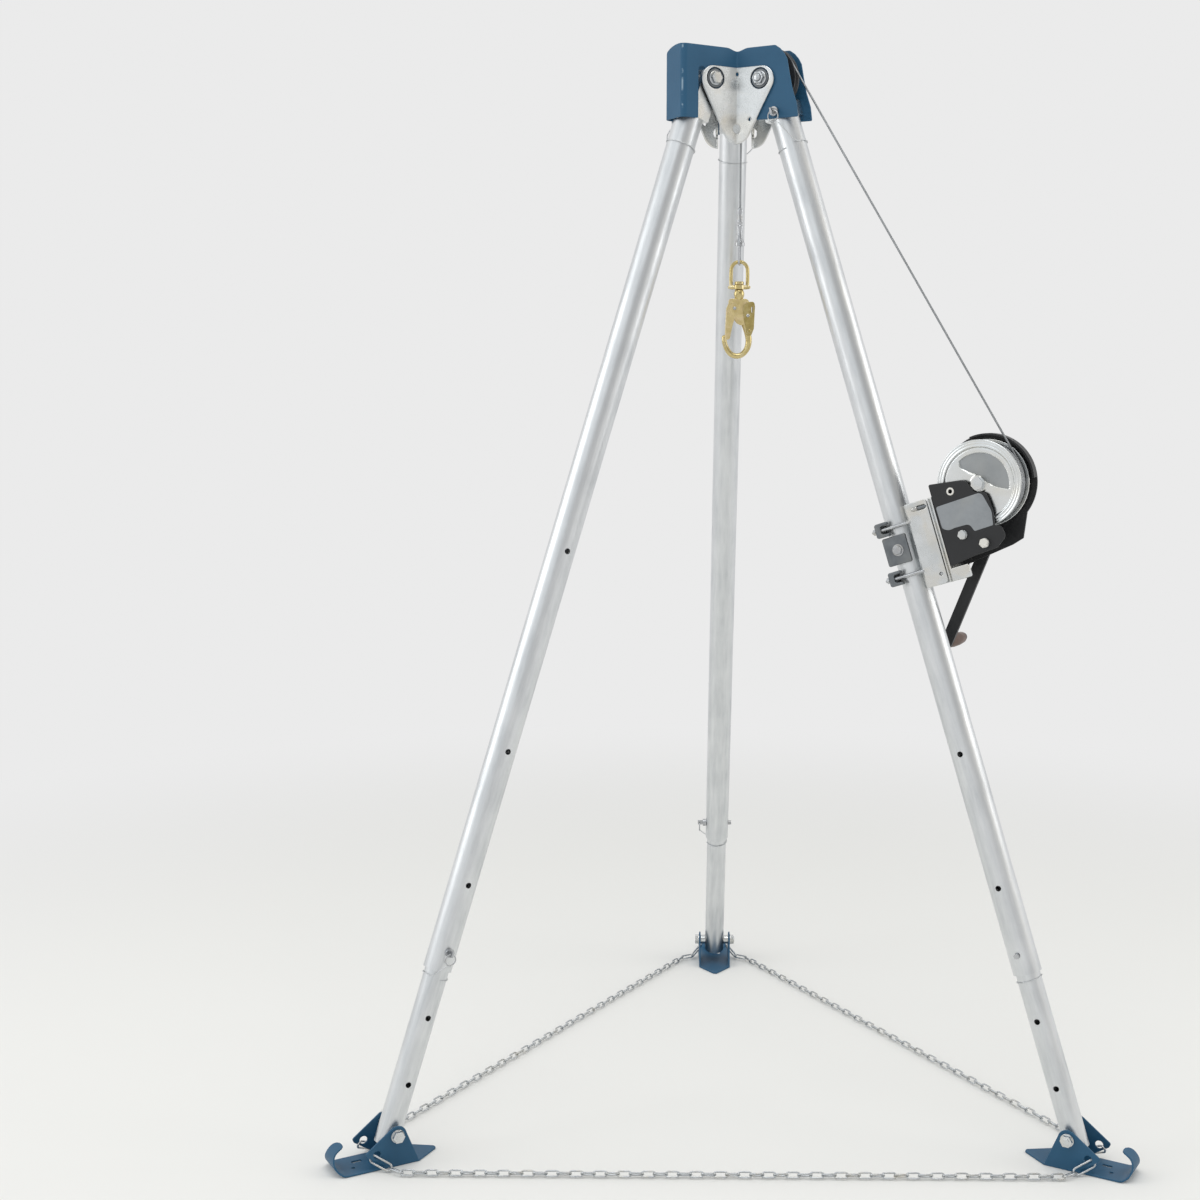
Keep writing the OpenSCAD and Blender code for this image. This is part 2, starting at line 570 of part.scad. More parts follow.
module clamp_bolts() color(steel) leg(1) {
  for (s = rod_s) for (k = [-1, 1]) translate([0, rod_y * k, -s]) rotate([0, 90, 0]) {
    translate([0, 0, -tube_od / 2 - 18]) cylinder(d = 8, h = tube_od + 31);
    translate([0, 0, tube_od / 2 + 5]) cylinder(r = 6.5 / cos(30), h = 6, $fn = 6);
    translate([0, 0, -tube_od / 2 - 16]) cylinder(r = 6.5 / cos(30), h = 6, $fn = 6);
  }
  translate([0, 0, -lock_s + 6 * hole_pitch]) {
    bar(pin_d, -tube_od / 2 - 6, -tube_id / 2 - 0.3);
    hex(19, -tube_od / 2 - 13, -tube_od / 2 - 5);
  }
}
front_bolt = [1081, 148];
front_cap = [1111, 190];
module winch_front_plate() color(black) leg(1) difference() {
  union() {
    slab(-bracket_half, -bracket_half + 4) polygon([[base_w, -961], [178, -972], [204, -1007], [221, -1057],
      [232, -1106], [212, -1126], [base_w, -1140]]);
    translate([crank_w, 0, -crank_s]) bar(34, -bracket_half + 2, -30);
  }
  translate([crank_w, 0, -crank_s]) bar(shaft_d + 2 * run_gap, -bracket_half + 4, 0);
  translate([144, 0, -987]) bar(16, -bracket_half - 18, 0);
  translate([front_bolt[1], 0, -front_bolt[0]]) bar(10, -bracket_half - 18, 0);
  translate([front_cap[1], 0, -front_cap[0]]) bar(10, -bracket_half - 18, 0);
}
guard_r = 105;
module winch_back_plate() color(black) leg(1) difference() {
  union() {
    slab(bracket_half - 4, bracket_half) {
      translate([drum_w, -drum_s]) circle(guard_r);
      translate([crank_w, -crank_s]) circle(34);
      polygon([[base_w, -950], [base_w, -1145], [220, -1130], [246, -1123], [280, -1050]]);
    }
    translate([crank_w, 0, -crank_s]) bar(38, bracket_half - 1, bracket_half + 12);
    translate([drum_w, 0, -drum_s]) intersection() {
      difference() {
        bar(2 * guard_r, 20, bracket_half - 3);
        bar(2 * guard_r - 8, 0, 60);
      }
      translate([-10, 0, -20]) cube([200, 60, 200]);
    }
  }
  translate([crank_w, 0, -crank_s]) bar(shaft_d + 2 * run_gap, 0, 80);
  translate([drum_w, 0, -drum_s]) bar(16, 0, 80);
}
module winch_bolts() color(zinc) {
  at_drum() {
    bar(shaft_d, -36, bracket_half - 4);
    bar(16, bracket_half - 5, bracket_half + 10);
    hex(24, bracket_half, bracket_half + 9);
    bar(30, -36, -32.5);
    hex(24, -44, -36);
  }
  for (p = [front_bolt, front_cap]) leg(1) translate([p[1], 0, -p[0]]) {
    bar(10, -bracket_half - 1, -bracket_half + 6);
    bar(20, -bracket_half - 3, -bracket_half);
    hex(17, -bracket_half - 9, -bracket_half - 3);
  }
}
barrel_r = 50;
module drum() color(zinc) at_drum() difference() {
  union() {
    bar(2 * flange_r, -32, -28);
    bar(2 * flange_r, 22, 26);
    bar(2 * barrel_r, -30, 24);
    bar(36, -32, 26);
  }
  difference() {
    bar(2 * barrel_r - 10, -28, 22);
    bar(36, -40, 40);
  }
  difference() {
    bar(2 * barrel_r - 14, -40, -20);
    bar(44, -41, 0);
    translate([-60, -45, -74]) rotate([0, 20, 0]) cube([120, 60, 80]);
  }
  difference() {
    bar(140, -33, -31);
    bar(110, -34, 0);
  }
  bar(shaft_d + 2 * run_gap, -40, 40);
}
module teeth(n, pr, add, ded) {
  circle(pr - ded);
  for (k = [0:n - 1]) rotate(360 * k / n) polygon([[0, -gear_module * 0.9], [pr - ded, -gear_module * 0.9],
    [pr + add, -gear_module * 0.42], [pr + add, gear_module * 0.42], [pr - ded, gear_module * 0.9],
    [0, gear_module * 0.9]]);
}
// Mesh line from drum to crank, in x and z
mesh_ang = atan2(-crank_dir[0], crank_dir[1]);
module drum_gear() color(steel) at_drum() slab(26, 34) difference() {
  rotate(mesh_ang) teeth(gear_teeth, gear_pr, 0.6 * gear_module, 0.9 * gear_module);
  circle(60);
}
module crank_shaft() color(steel) at_crank() {
  bar(shaft_d, -37.5, arm_y + 8);
  slab(27, 35) rotate(mesh_ang + 180 + 180 / pinion_teeth)
    teeth(pinion_teeth, pinion_pr, 0.6 * gear_module, 0.9 * gear_module);
  bar(30, arm_y + 8, arm_y + 10);
  hex(24, arm_y + 10, arm_y + 18);
}
module crank_arm() color(black) at_crank() difference() {
  union() {
    bar(40, bracket_half + 13, arm_y + 8);
    rotate([0, arm_ang, 0]) {
      translate([-13, arm_y, -crank_len]) cube([26, 8, crank_len]);
      translate([0, 0, -crank_len]) bar(26, arm_y, arm_y + 8);
      translate([0, 0, -crank_len]) bar(12, arm_y, arm_y + grip_len + 14);
      translate([0, 0, -crank_len]) bar(20, arm_y + grip_len + 9.5, arm_y + grip_len + 14);
    }
  }
  bar(shaft_d, 0, 80);
}
module crank_grip() color(brown) at_crank() rotate([0, arm_ang, 0]) translate([0, arm_y + 8.5, -crank_len])
  rotate([-90, 0, 0]) difference() {
    rotate_extrude() polygon([[0, 0], [11, 0], [13, 6], [15, 30], [15, 60], [13, grip_len - 6], [10, grip_len],
      [0, grip_len]]);
    translate([0, 0, -1]) cylinder(d = 12 + 2 * run_gap, h = grip_len + 2);
  }
// Outer layer of the wound line, over a plain core
wound_start = exit_y - wound_turns * wound_pitch;
wound_path = concat(
  [for (k = [0:24 * wound_turns]) let (a = tan_ang + 360 * k / 24)
    [wound_r * cos(a), wound_start + k * wound_pitch / 24, wound_r * sin(a)]],
  [[wound_r * tan_n[0] + line_d * tan_up[0], exit_y, wound_r * tan_n[1] + line_d * tan_up[1]]]);
echo(wound_gap_mm = wound_pitch - line_d);
module drum_line() color(steel) at_drum() {
  sweep(wound_path, line_d / 2, 6, [0, 1, 0]);
  difference() {
    bar(2 * (wound_r - line_d / 2 - 0.4), -27.6, 21.6);
    bar(2 * barrel_r + 0.6, -40, 40);
  }
}

// Foot chains: links drawn from joint to joint
module link(a, b, side) {
  f = unit(b - a);
  p = across(f, side);
  m = cross(f, p);
  c = (norm(b - a) + chain_wire + chain_gap) / 2 - chain_half;
  multmatrix([[f[0], p[0], m[0], (a[0] + b[0]) / 2], [f[1], p[1], m[1], (a[1] + b[1]) / 2],
    [f[2], p[2], m[2], (a[2] + b[2]) / 2], [0, 0, 0, 1]]) {
    for (k = [0, 1]) rotate([0, 0, 180 * k]) {
      translate([c, 0, 0]) rotate([0, 0, -90]) rotate_extrude(angle = 180) translate([chain_half, 0])
        circle(d = chain_wire);
      translate([-c, chain_half, 0]) rotate([0, 90, 0]) cylinder(d = chain_wire, h = 2 * c);
    }
  }
}
hook_n = unit([27, 0, -39]);
chain_pull = (chain_wire + chain_gap) / 2;
plate_mid = foot_half - foot_t / 2;
hook_seat = 9 - chain_wire / 2 - 1.1;
hook_in = [foot_r + chain_hole[0], plate_mid, pivot_h + chain_hole[1]] + (hook_seat + chain_pull) * hook_n;
hook_out = hook_in + 26 * hook_n;
join_0 = [foot_r + chain_hole[0], plate_mid + chain_half - chain_pull, pivot_h + chain_hole[1]] + 24 * hook_n;
chain_z = chain_half * sin(45) + chain_wire / 2 + 2.3;
join_1 = [join_0[0] - 7, join_0[1] + 23, chain_z];
run_dir = [-cos(30), sin(30), 0];
run_out = [sin(30), cos(30), 0];
run_len = 2 * (join_1[0] * cos(30) - join_1[1] * sin(30));
run_links = 2 * floor(run_len / 51.6) + 1;
module chain_end() {
  link(hook_in, hook_out, [0, 1, 0]);
  link(join_0, join_1, cross(unit(join_1 - join_0), hook_n));
}
module chain(i) color(steel) {
  arm(i) {
    chain_end();
    for (k = [0:run_links - 1]) link(join_1 + run_dir * run_len * k / run_links,
      join_1 + run_dir * run_len * (k + 1) / run_links, run_out + [0, 0, k % 2 == 0 ? -1 : 1]);
  }
  arm((i + 1) % 3) mirror([0, 1, 0]) chain_end();
}
module chain_front() chain(0);
module chain_right() chain(1);
module chain_left() chain(2);

head_frame();
anchor_plate_front();
anchor_plate_right();
anchor_plate_left();
hinge_bolts();
hinge_nuts();
hinge_sleeves();
leg_tube_left();
leg_tube_right();
leg_tube_rear();
leg_fork_left();
leg_fork_right();
leg_fork_rear();
inner_tube_left();
inner_tube_right();
inner_tube_rear();
foot_bolt_left();
foot_bolt_right();
foot_bolt_rear();
foot_left();
foot_right();
foot_rear();
lock_pin_left();
lock_pin_right();
lock_pin_rear();
stop_pin_left();
stop_pin_right();
stop_pin_rear();
lock_lanyard_left();
lock_lanyard_right();
lock_lanyard_rear();
stop_lanyard_left();
stop_lanyard_right();
stop_lanyard_rear();
sheave();
winch_bracket();
winch_base();
leg_clamp();
clamp_bolts();
winch_front_plate();
winch_back_plate();
winch_bolts();
drum();
drum_gear();
drum_line();
crank_shaft();
crank_arm();
crank_grip();
line_up();
line_drop();
line_eye();
swivel_eye();
hook_body();
hook_rivets();
hook_gate();
hook_lock();
chain_front();
chain_right();
chain_left();
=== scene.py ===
import json
import math
from contextlib import contextmanager
import bpy
import bmesh
from mathutils import Matrix, Vector


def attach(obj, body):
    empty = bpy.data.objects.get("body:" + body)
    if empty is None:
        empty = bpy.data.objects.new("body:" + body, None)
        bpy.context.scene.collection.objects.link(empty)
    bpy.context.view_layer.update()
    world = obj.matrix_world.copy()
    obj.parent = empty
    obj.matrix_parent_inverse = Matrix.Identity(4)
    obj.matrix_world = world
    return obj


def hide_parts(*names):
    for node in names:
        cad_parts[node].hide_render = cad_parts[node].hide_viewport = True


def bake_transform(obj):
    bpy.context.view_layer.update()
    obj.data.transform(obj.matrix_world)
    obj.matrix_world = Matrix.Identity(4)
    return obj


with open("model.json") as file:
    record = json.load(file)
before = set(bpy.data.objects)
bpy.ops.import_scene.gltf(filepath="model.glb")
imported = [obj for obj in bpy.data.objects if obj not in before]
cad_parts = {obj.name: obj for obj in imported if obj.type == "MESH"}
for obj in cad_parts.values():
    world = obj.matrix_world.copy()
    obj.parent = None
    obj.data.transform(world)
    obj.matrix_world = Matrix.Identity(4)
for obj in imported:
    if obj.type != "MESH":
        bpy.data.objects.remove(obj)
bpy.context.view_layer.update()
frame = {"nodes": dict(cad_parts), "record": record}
nodes = frame["nodes"]
bodyOf = {n: b for b, members in frame["record"]["behaviour"]["bodies"].items() for n in members}
scene = bpy.context.scene
sides = ["left", "right", "rear"]

# sizes in mm, the same values as in the part's source
tripod = {
    "azimuth": {"left": 210, "right": 330, "rear": 90},
    "lean": 18.8, "hingeRadius": 80, "legOffset": 13, "pivotHeight": 70, "footReach": 2408.8,
    "tubeDiameter": 63.5, "innerDiameter": 54, "tubeEnd": 2041, "lockAt": 1995,
    "baseReach": 112, "curlRadius": 29, "toeSide": 13, "footHalf": 45,
}
lean = math.radians(tripod["lean"])
footRadius = (tripod["hingeRadius"] + tripod["legOffset"] * math.cos(lean)
              + tripod["footReach"] * math.sin(lean))
hingeHeight = (tripod["pivotHeight"] + tripod["footReach"] * math.cos(lean)
               - tripod["legOffset"] * math.sin(lean))
curl = tripod["curlRadius"]
toeEdge = tripod["baseReach"] + math.sqrt(curl ** 2 - (curl - tripod["toeSide"]) ** 2)
backReach = footRadius + tripod["baseReach"] + curl
frontReach = (footRadius + toeEdge) / 2 + tripod["footHalf"] * math.cos(math.radians(30))
axisY = (frontReach - backReach) / 2

# every frame takes millimetres to the metres of the scene
toMetres = Matrix.Scale(0.001, 4)
middle = toMetres @ Matrix.Translation((0, axisY, 0))


def turn(degrees, axis):
    return Matrix.Rotation(math.radians(degrees), 4, axis)


armFrame = {s: middle @ turn(tripod["azimuth"][s], "Z") for s in sides}
hingeFrame = {s: armFrame[s] @ Matrix.Translation((tripod["hingeRadius"], 0, hingeHeight))
              @ turn(-tripod["lean"], "Y") for s in sides}
legFrame = {s: hingeFrame[s] @ Matrix.Translation((tripod["legOffset"], 0, 0)) for s in sides}
footFrame = {s: armFrame[s] @ Matrix.Translation((footRadius, 0, tripod["pivotHeight"])) for s in sides}
headFrame = middle @ Matrix.Translation((0, 0, hingeHeight))

# camera at the photograph's viewing angle
cameraView = {
    "place": (-0.155, -3.914, 1.681), "yaw": 0.22, "pitch": 9.87, "roll": 0.26,
    "focal": 1682, "centre": (657, 680), "image": 1200,
}


def makeCamera():
    v = cameraView
    data = bpy.data.cameras.new("photoCamera")
    camera = bpy.data.objects.new("photoCamera", data)
    scene.collection.objects.link(camera)
    data.sensor_fit = "HORIZONTAL"
    data.sensor_width = 36
    data.lens = 36 * v["focal"] / v["image"]
    data.shift_x = (v["image"] / 2 - v["centre"][0]) / v["image"]
    data.shift_y = (v["centre"][1] - v["image"] / 2) / v["image"]
    data.clip_end = 200
    data.dof.use_dof = False
    aim = turn(v["yaw"], "Z") @ turn(90 - v["pitch"], "X") @ turn(v["roll"], "Z")
    camera.matrix_world = Matrix.Translation(Vector(v["place"]) + Vector((0, axisY / 1000, 0))) @ aim
    scene.camera = camera


makeCamera()
scene.view_settings.view_transform = "Standard"
print("camera set")


def linear(code):
    parts = [int(code[i:i + 2], 16) / 255 for i in (1, 3, 5)]
    return [c / 12.92 if c <= 0.04045 else ((c + 0.055) / 1.055) ** 2.4 for c in parts] + [1]


# adds one node: settings are attributes or socket values, links feed sockets from a socket or a node's first output
def addNode(tree, kind, settings=None, links=None):
    node = tree.nodes.new("ShaderNode" + kind)
    for key, value in (settings or {}).items():
        if isinstance(key, str) and hasattr(node, key):
            setattr(node, key, value)
        else:
            node.inputs[key].default_value = value
    for key, source in (links or {}).items():
        if isinstance(source, bpy.types.Node):
            source = source.outputs[0]
        tree.links.new(source, node.inputs[key])
    return node


def newMaterial(name):
    material = bpy.data.materials.new(name)
    material.use_nodes = True
    tree = material.node_tree
    tree.nodes.clear()
    return material, tree


# the mask is 1 along outer edges within the radius, in metres
def edgeMask(tree, radius, low, high):
    soft = addNode(tree, "Bevel", {"samples": 6, "Radius": radius})
    hard = addNode(tree, "NewGeometry")
    dot = addNode(tree, "VectorMath", {"operation": "DOT_PRODUCT"}, {0: soft, 1: hard.outputs["Normal"]})
    return addNode(tree, "MapRange", {"From Min": high, "From Max": low, "To Min": 0, "To Max": 1},
                   {"Value": dot.outputs["Value"]})


# polyester powder coat on pressed steel: a satin skin with shallow orange peel, rubbed paler on its edges, and a
# painted highlight in dashes down the head's folds
powderBlue = {
    "colour": "#285a7a", "deep": "#234e6b", "edgeWearAndHighlight": "#8fa6b5", "peelMm": 2.2, "patchMm": 90,
    "foldAt": (158.6, 33.6), "foldHighlightMm": 2.6, "dashMm": 26,
}


def powderCoatBlue():
    material, tree = newMaterial("powderCoatBlue")
    place = addNode(tree, "TexCoord").outputs["Object"]
    patch = addNode(tree, "TexNoise", {"Scale": 1000 / powderBlue["patchMm"], "Detail": 4}, {"Vector": place})
    peel = addNode(tree, "TexNoise", {"Scale": 1000 / powderBlue["peelMm"], "Detail": 2}, {"Vector": place})
    chips = addNode(tree, "TexNoise", {"Scale": 260, "Detail": 5, "Roughness": 0.7}, {"Vector": place})
    tone = addNode(tree, "Mix",
                   {"data_type": "RGBA", 6: linear(powderBlue["colour"]), 7: linear(powderBlue["deep"])},
                   {0: patch})
    edge = edgeMask(tree, 0.0022, 0.80, 0.99)
    broken = addNode(tree, "MapRange", {"From Min": 0.46, "From Max": 0.66, "To Max": 0.75}, {"Value": chips})
    worn = addNode(tree, "Math", {"operation": "MULTIPLY"}, {0: edge, 1: broken})
    # down the head's upright folds a pale line in dashes: partly painted highlight on the bends, partly scuffs where
    # it has lain on the ground
    dash = addNode(tree, "TexNoise", {"Scale": 1000 / powderBlue["dashMm"], "Detail": 3, "Roughness": 0.65},
                   {"Vector": place})
    dashedFoldHighlight = addNode(tree, "MapRange", {"From Min": 0.5, "From Max": 0.58, "To Max": 0.85}, {"Value": dash})
    for side in ("left", "rear"):
        for hand in (1, -1):
            fold = armFrame[side] @ Vector((powderBlue["foldAt"][0], hand * powderBlue["foldAt"][1], 0))
            off = addNode(tree, "VectorMath", {"operation": "SUBTRACT", 1: fold}, {0: place})
            level = addNode(tree, "VectorMath", {"operation": "MULTIPLY", 1: (1, 1, 0)}, {0: off})
            far = addNode(tree, "VectorMath", {"operation": "LENGTH"}, {0: level})
            line = addNode(tree, "MapRange", {"From Min": powderBlue["foldHighlightMm"] / 1000, "From Max": 0.0008},
                           {"Value": far.outputs["Value"]})
            scuff = addNode(tree, "Math", {"operation": "MULTIPLY"}, {0: line, 1: dashedFoldHighlight})
            worn = addNode(tree, "Math", {"operation": "MAXIMUM"}, {0: worn, 1: scuff})
    # the edge wear and the painted highlight on the folds both turn the coat towards the paler colour
    colour = addNode(tree, "Mix", {"data_type": "RGBA", 7: linear(powderBlue["edgeWearAndHighlight"])},
                     {0: worn, 6: tone.outputs[2]})
    rough = addNode(tree, "MapRange", {"From Min": 0.3, "From Max": 0.7, "To Min": 0.38, "To Max": 0.52},
                    {"Value": patch})
    bump = addNode(tree, "Bump", {"Strength": 0.16, "Distance": 0.0004}, {"Height": peel})
    shader = addNode(tree, "BsdfPrincipled", {"IOR": 1.5, "Specular IOR Level": 0.35},
                     {"Base Color": colour.outputs[2], "Roughness": rough, "Normal": bump})
    addNode(tree, "OutputMaterial", {}, {"Surface": shader})
    return material


# extruded aluminium tube, mill finish: lines along its length, drawn coarser than they are so that they show,
# and dull smears where hands and pins rub
millTube = {"colour": "#e0e2e3", "dull": "#c8cbcd", "lineMm": 0.9, "smearMm": 120}


def extrudedAluminium(side):
    material, tree = newMaterial("extrudedAluminium_" + side)
    place = addNode(tree, "TexCoord").outputs["Object"]
    away = (turn(-tripod["azimuth"][side], "Z")).to_euler()
    flat = addNode(tree, "Mapping", {"Rotation": away}, {"Vector": place})
    upright = addNode(tree, "Mapping", {"Rotation": (0, lean, 0)}, {"Vector": flat})
    long = addNode(tree, "Mapping", {"Scale": (1, 1, 0.012)}, {"Vector": upright})
    lines = addNode(tree, "TexNoise", {"Scale": 1000 / millTube["lineMm"], "Detail": 3}, {"Vector": long})
    band = addNode(tree, "Mapping", {"Scale": (1, 1, 0.12)}, {"Vector": upright})
    streak = addNode(tree, "TexNoise", {"Scale": 85, "Detail": 4, "Roughness": 0.6}, {"Vector": band})
    smear = addNode(tree, "TexNoise", {"Scale": 1000 / millTube["smearMm"], "Detail": 5}, {"Vector": upright})
    scuffSpace = addNode(tree, "Mapping", {"Scale": (1, 1, 0.5), "Rotation": (0.3, 0.2, 0.5)},
                         {"Vector": upright})
    scuff = addNode(tree, "TexNoise", {"Scale": 330, "Detail": 6, "Roughness": 0.75}, {"Vector": scuffSpace})
    cloudy = addNode(tree, "Math", {"operation": "MULTIPLY"}, {0: streak, 1: smear})
    amount = addNode(tree, "MapRange", {"From Min": 0.12, "From Max": 0.42}, {"Value": cloudy})
    colour = addNode(tree, "Mix",
                     {"data_type": "RGBA", 6: linear(millTube["colour"]), 7: linear(millTube["dull"])},
                     {0: amount})
    mixed = addNode(tree, "Math", {"operation": "MULTIPLY_ADD", 1: 0.35}, {0: scuff, 2: cloudy})
    rough = addNode(tree, "MapRange", {"From Min": 0.2, "From Max": 0.7, "To Min": 0.30, "To Max": 0.47},
                    {"Value": mixed})
    fine = addNode(tree, "Bump", {"Strength": 0.10, "Distance": 0.0002}, {"Height": lines})
    bump = addNode(tree, "Bump", {"Strength": 0.05, "Distance": 0.0003}, {"Height": scuff, "Normal": fine})
    shader = addNode(tree, "BsdfPrincipled", {"Metallic": 1},
                     {"Base Color": colour.outputs[2], "Roughness": rough, "Normal": bump})
    addNode(tree, "OutputMaterial", {}, {"Surface": shader})
    return material


# plated and plain steel: cloudy tint from the passivate, a painted highlight along the edges of some finishes,
# handling scratches
plated = {
    "clearZincPlate": {"colour": "#d8dbdc", "cloud": "#c5c8c8", "tint": "#dad2c2", "rough": (0.18, 0.34),
                       "cloudMm": 45, "edgeWearAndHighlight": "#f0f1f0"},
    "spunZincPlate": {"colour": "#e3e6e7", "cloud": "#d4d8d9", "tint": "#dcd8cd", "rough": (0.15, 0.28),
                      "cloudMm": 60},
    "turnedSteel": {"colour": "#bdbfc1", "cloud": "#a6a8ab", "tint": "#b9b4aa", "rough": (0.20, 0.36),
                    "cloudMm": 25},
    "brightChainSteel": {"colour": "#c9ccce", "cloud": "#b4b8bb", "tint": "#c4beb0", "rough": (0.18, 0.34),
                         "cloudMm": 18},
    "yellowZincChromate": {"colour": "#d3c28d", "cloud": "#bba86f", "tint": "#e2d7b9", "rough": (0.18, 0.34),
                           "cloudMm": 14, "edgeWearAndHighlight": "#f0e8d2"},
    # the pale and dull copies of the yellow plating set the hook's parts apart: partly the plating's own tones,
    # partly painted light on the cheeks and gate and painted shade on the lock lever, in place of the shadow lines
    # between them
    "litPaleYellowZinc": {"colour": "#dac994", "cloud": "#c6b27c", "tint": "#dfc9a6", "rough": (0.2, 0.36),
                       "cloudMm": 12, "edgeWearAndHighlight": "#f6f0e0"},
    "shadedDullYellowZinc": {"colour": "#b8a76c", "cloud": "#9c8a51", "tint": "#cabd92", "rough": (0.24, 0.4),
                       "cloudMm": 12, "edgeWearAndHighlight": "#ece2c6"},
    "phosphatedSteel": {"colour": "#7d8184", "cloud": "#686c70", "tint": "#8b8a84", "rough": (0.34, 0.5),
                        "cloudMm": 30},
    "brushedFoil": {"colour": "#9da1a4", "cloud": "#8f9396", "tint": "#a5a6a3", "rough": (0.42, 0.56),
                    "cloudMm": 60},
}


def platedSteel(name):
    look = plated[name]
    material, tree = newMaterial(name)
    place = addNode(tree, "TexCoord").outputs["Object"]
    cloud = addNode(tree, "TexNoise", {"Scale": 1000 / look["cloudMm"], "Detail": 5, "Roughness": 0.6},
                    {"Vector": place})
    tint = addNode(tree, "TexNoise", {"Scale": 620 / look["cloudMm"], "Detail": 3, "Distortion": 0.6},
                   {"Vector": place})
    grit = addNode(tree, "TexNoise", {"Scale": 1500, "Detail": 2}, {"Vector": place})
    scratchSpace = addNode(tree, "Mapping", {"Scale": (1, 0.06, 1), "Rotation": (0.4, 0.3, 0.7)},
                           {"Vector": place})
    scratch = addNode(tree, "TexNoise", {"Scale": 420, "Detail": 4, "Roughness": 0.7}, {"Vector": scratchSpace})
    first = addNode(tree, "MapRange", {"From Min": 0.35, "From Max": 0.7}, {"Value": cloud})
    second = addNode(tree, "MapRange", {"From Min": 0.5, "From Max": 0.72, "To Max": 0.6}, {"Value": tint})
    base = addNode(tree, "Mix", {"data_type": "RGBA", 6: linear(look["colour"]), 7: linear(look["cloud"])},
                   {0: first})
    colour = addNode(tree, "Mix", {"data_type": "RGBA", 7: linear(look["tint"])},
                     {0: second, 6: base.outputs[2]})
    if "edgeWearAndHighlight" in look:
        # painted highlight: the edges are mixed towards a bright colour, as if they caught the light
        edge = edgeMask(tree, 0.0012, 0.82, 0.99)
        colour = addNode(tree, "Mix", {"data_type": "RGBA", 7: linear(look["edgeWearAndHighlight"])},
                         {0: edge, 6: colour.outputs[2]})
    worn = addNode(tree, "Math", {"operation": "MULTIPLY_ADD", 1: 0.5}, {0: scratch, 2: cloud})
    rough = addNode(tree, "MapRange",
                    {"From Min": 0.45, "From Max": 1.0, "To Min": look["rough"][0], "To Max": look["rough"][1]},
                    {"Value": worn})
    fine = addNode(tree, "Bump", {"Strength": 0.06, "Distance": 0.0001}, {"Height": grit})
    bump = addNode(tree, "Bump", {"Strength": 0.07, "Distance": 0.0002}, {"Height": scratch, "Normal": fine})
    shader = addNode(tree, "BsdfPrincipled", {"Metallic": 1},
                     {"Base Color": colour.outputs[2], "Roughness": rough, "Normal": bump})
    addNode(tree, "OutputMaterial", {}, {"Surface": shader})
    return material


# coated and moulded finishes: powder coat on the winch plates, nylon on sheave, ring and cap, phenolic on the grip
coated = {
    "blackPowderCoat": {"colour": "#1d1e20", "deep": "#151618", "edgeWearAndHighlight": "#5d5f62", "rough": (0.36, 0.52),
                        "grainMm": 1.6, "bump": 0.2},
    "mouldedNylon": {"colour": "#25272a", "deep": "#1b1c1f", "edgeWearAndHighlight": "#3b3d40", "rough": (0.42, 0.58),
                     "grainMm": 0.9, "bump": 0.12},
    "brownPhenolic": {"colour": "#5a3a26", "deep": "#43291a", "edgeWearAndHighlight": "#7d5b41", "rough": (0.32, 0.5),
                      "grainMm": 1.2, "bump": 0.1},
    "whiteNylon": {"colour": "#e4e2dc", "deep": "#d6d3ca", "edgeWearAndHighlight": "#efeee9", "rough": (0.38, 0.5),
                   "grainMm": 1.0, "bump": 0.08},
}


def coatedFinish(name):
    look = coated[name]
    material, tree = newMaterial(name)
    place = addNode(tree, "TexCoord").outputs["Object"]
    patch = addNode(tree, "TexNoise", {"Scale": 28, "Detail": 5}, {"Vector": place})
    grain = addNode(tree, "TexNoise", {"Scale": 1000 / look["grainMm"], "Detail": 3}, {"Vector": place})
    chips = addNode(tree, "TexNoise", {"Scale": 300, "Detail": 5, "Roughness": 0.75}, {"Vector": place})
    edge = edgeMask(tree, 0.0016, 0.82, 0.99)
    broken = addNode(tree, "MapRange", {"From Min": 0.45, "From Max": 0.64, "To Max": 0.8}, {"Value": chips})
    worn = addNode(tree, "Math", {"operation": "MULTIPLY"}, {0: edge, 1: broken})
    tone = addNode(tree, "Mix", {"data_type": "RGBA", 6: linear(look["colour"]), 7: linear(look["deep"])},
                   {0: patch})
    colour = addNode(tree, "Mix", {"data_type": "RGBA", 7: linear(look["edgeWearAndHighlight"])},
                     {0: worn, 6: tone.outputs[2]})
    rough = addNode(tree, "MapRange",
                    {"From Min": 0.3, "From Max": 0.7, "To Min": look["rough"][0], "To Max": look["rough"][1]},
                    {"Value": patch})
    bump = addNode(tree, "Bump", {"Strength": look["bump"], "Distance": 0.0003}, {"Height": grain})
    shader = addNode(tree, "BsdfPrincipled", {"IOR": 1.5},
                     {"Base Color": colour.outputs[2], "Roughness": rough, "Normal": bump})
    addNode(tree, "OutputMaterial", {}, {"Surface": shader})
    return material


# wire rope: the strands are in the mesh, the single wires in the pattern along its UV map,
# drawn coarser than they are so that they show, with painted shade in the grooves between the wires
ropes = {
    "galvanisedRope": {"colour": "#b4b7b9", "gap": "#4c4e50", "wireMm": 0.9},
    "stainlessCable": {"colour": "#e6e8e9", "gap": "#b9bcbe", "wireMm": 0.5},
}


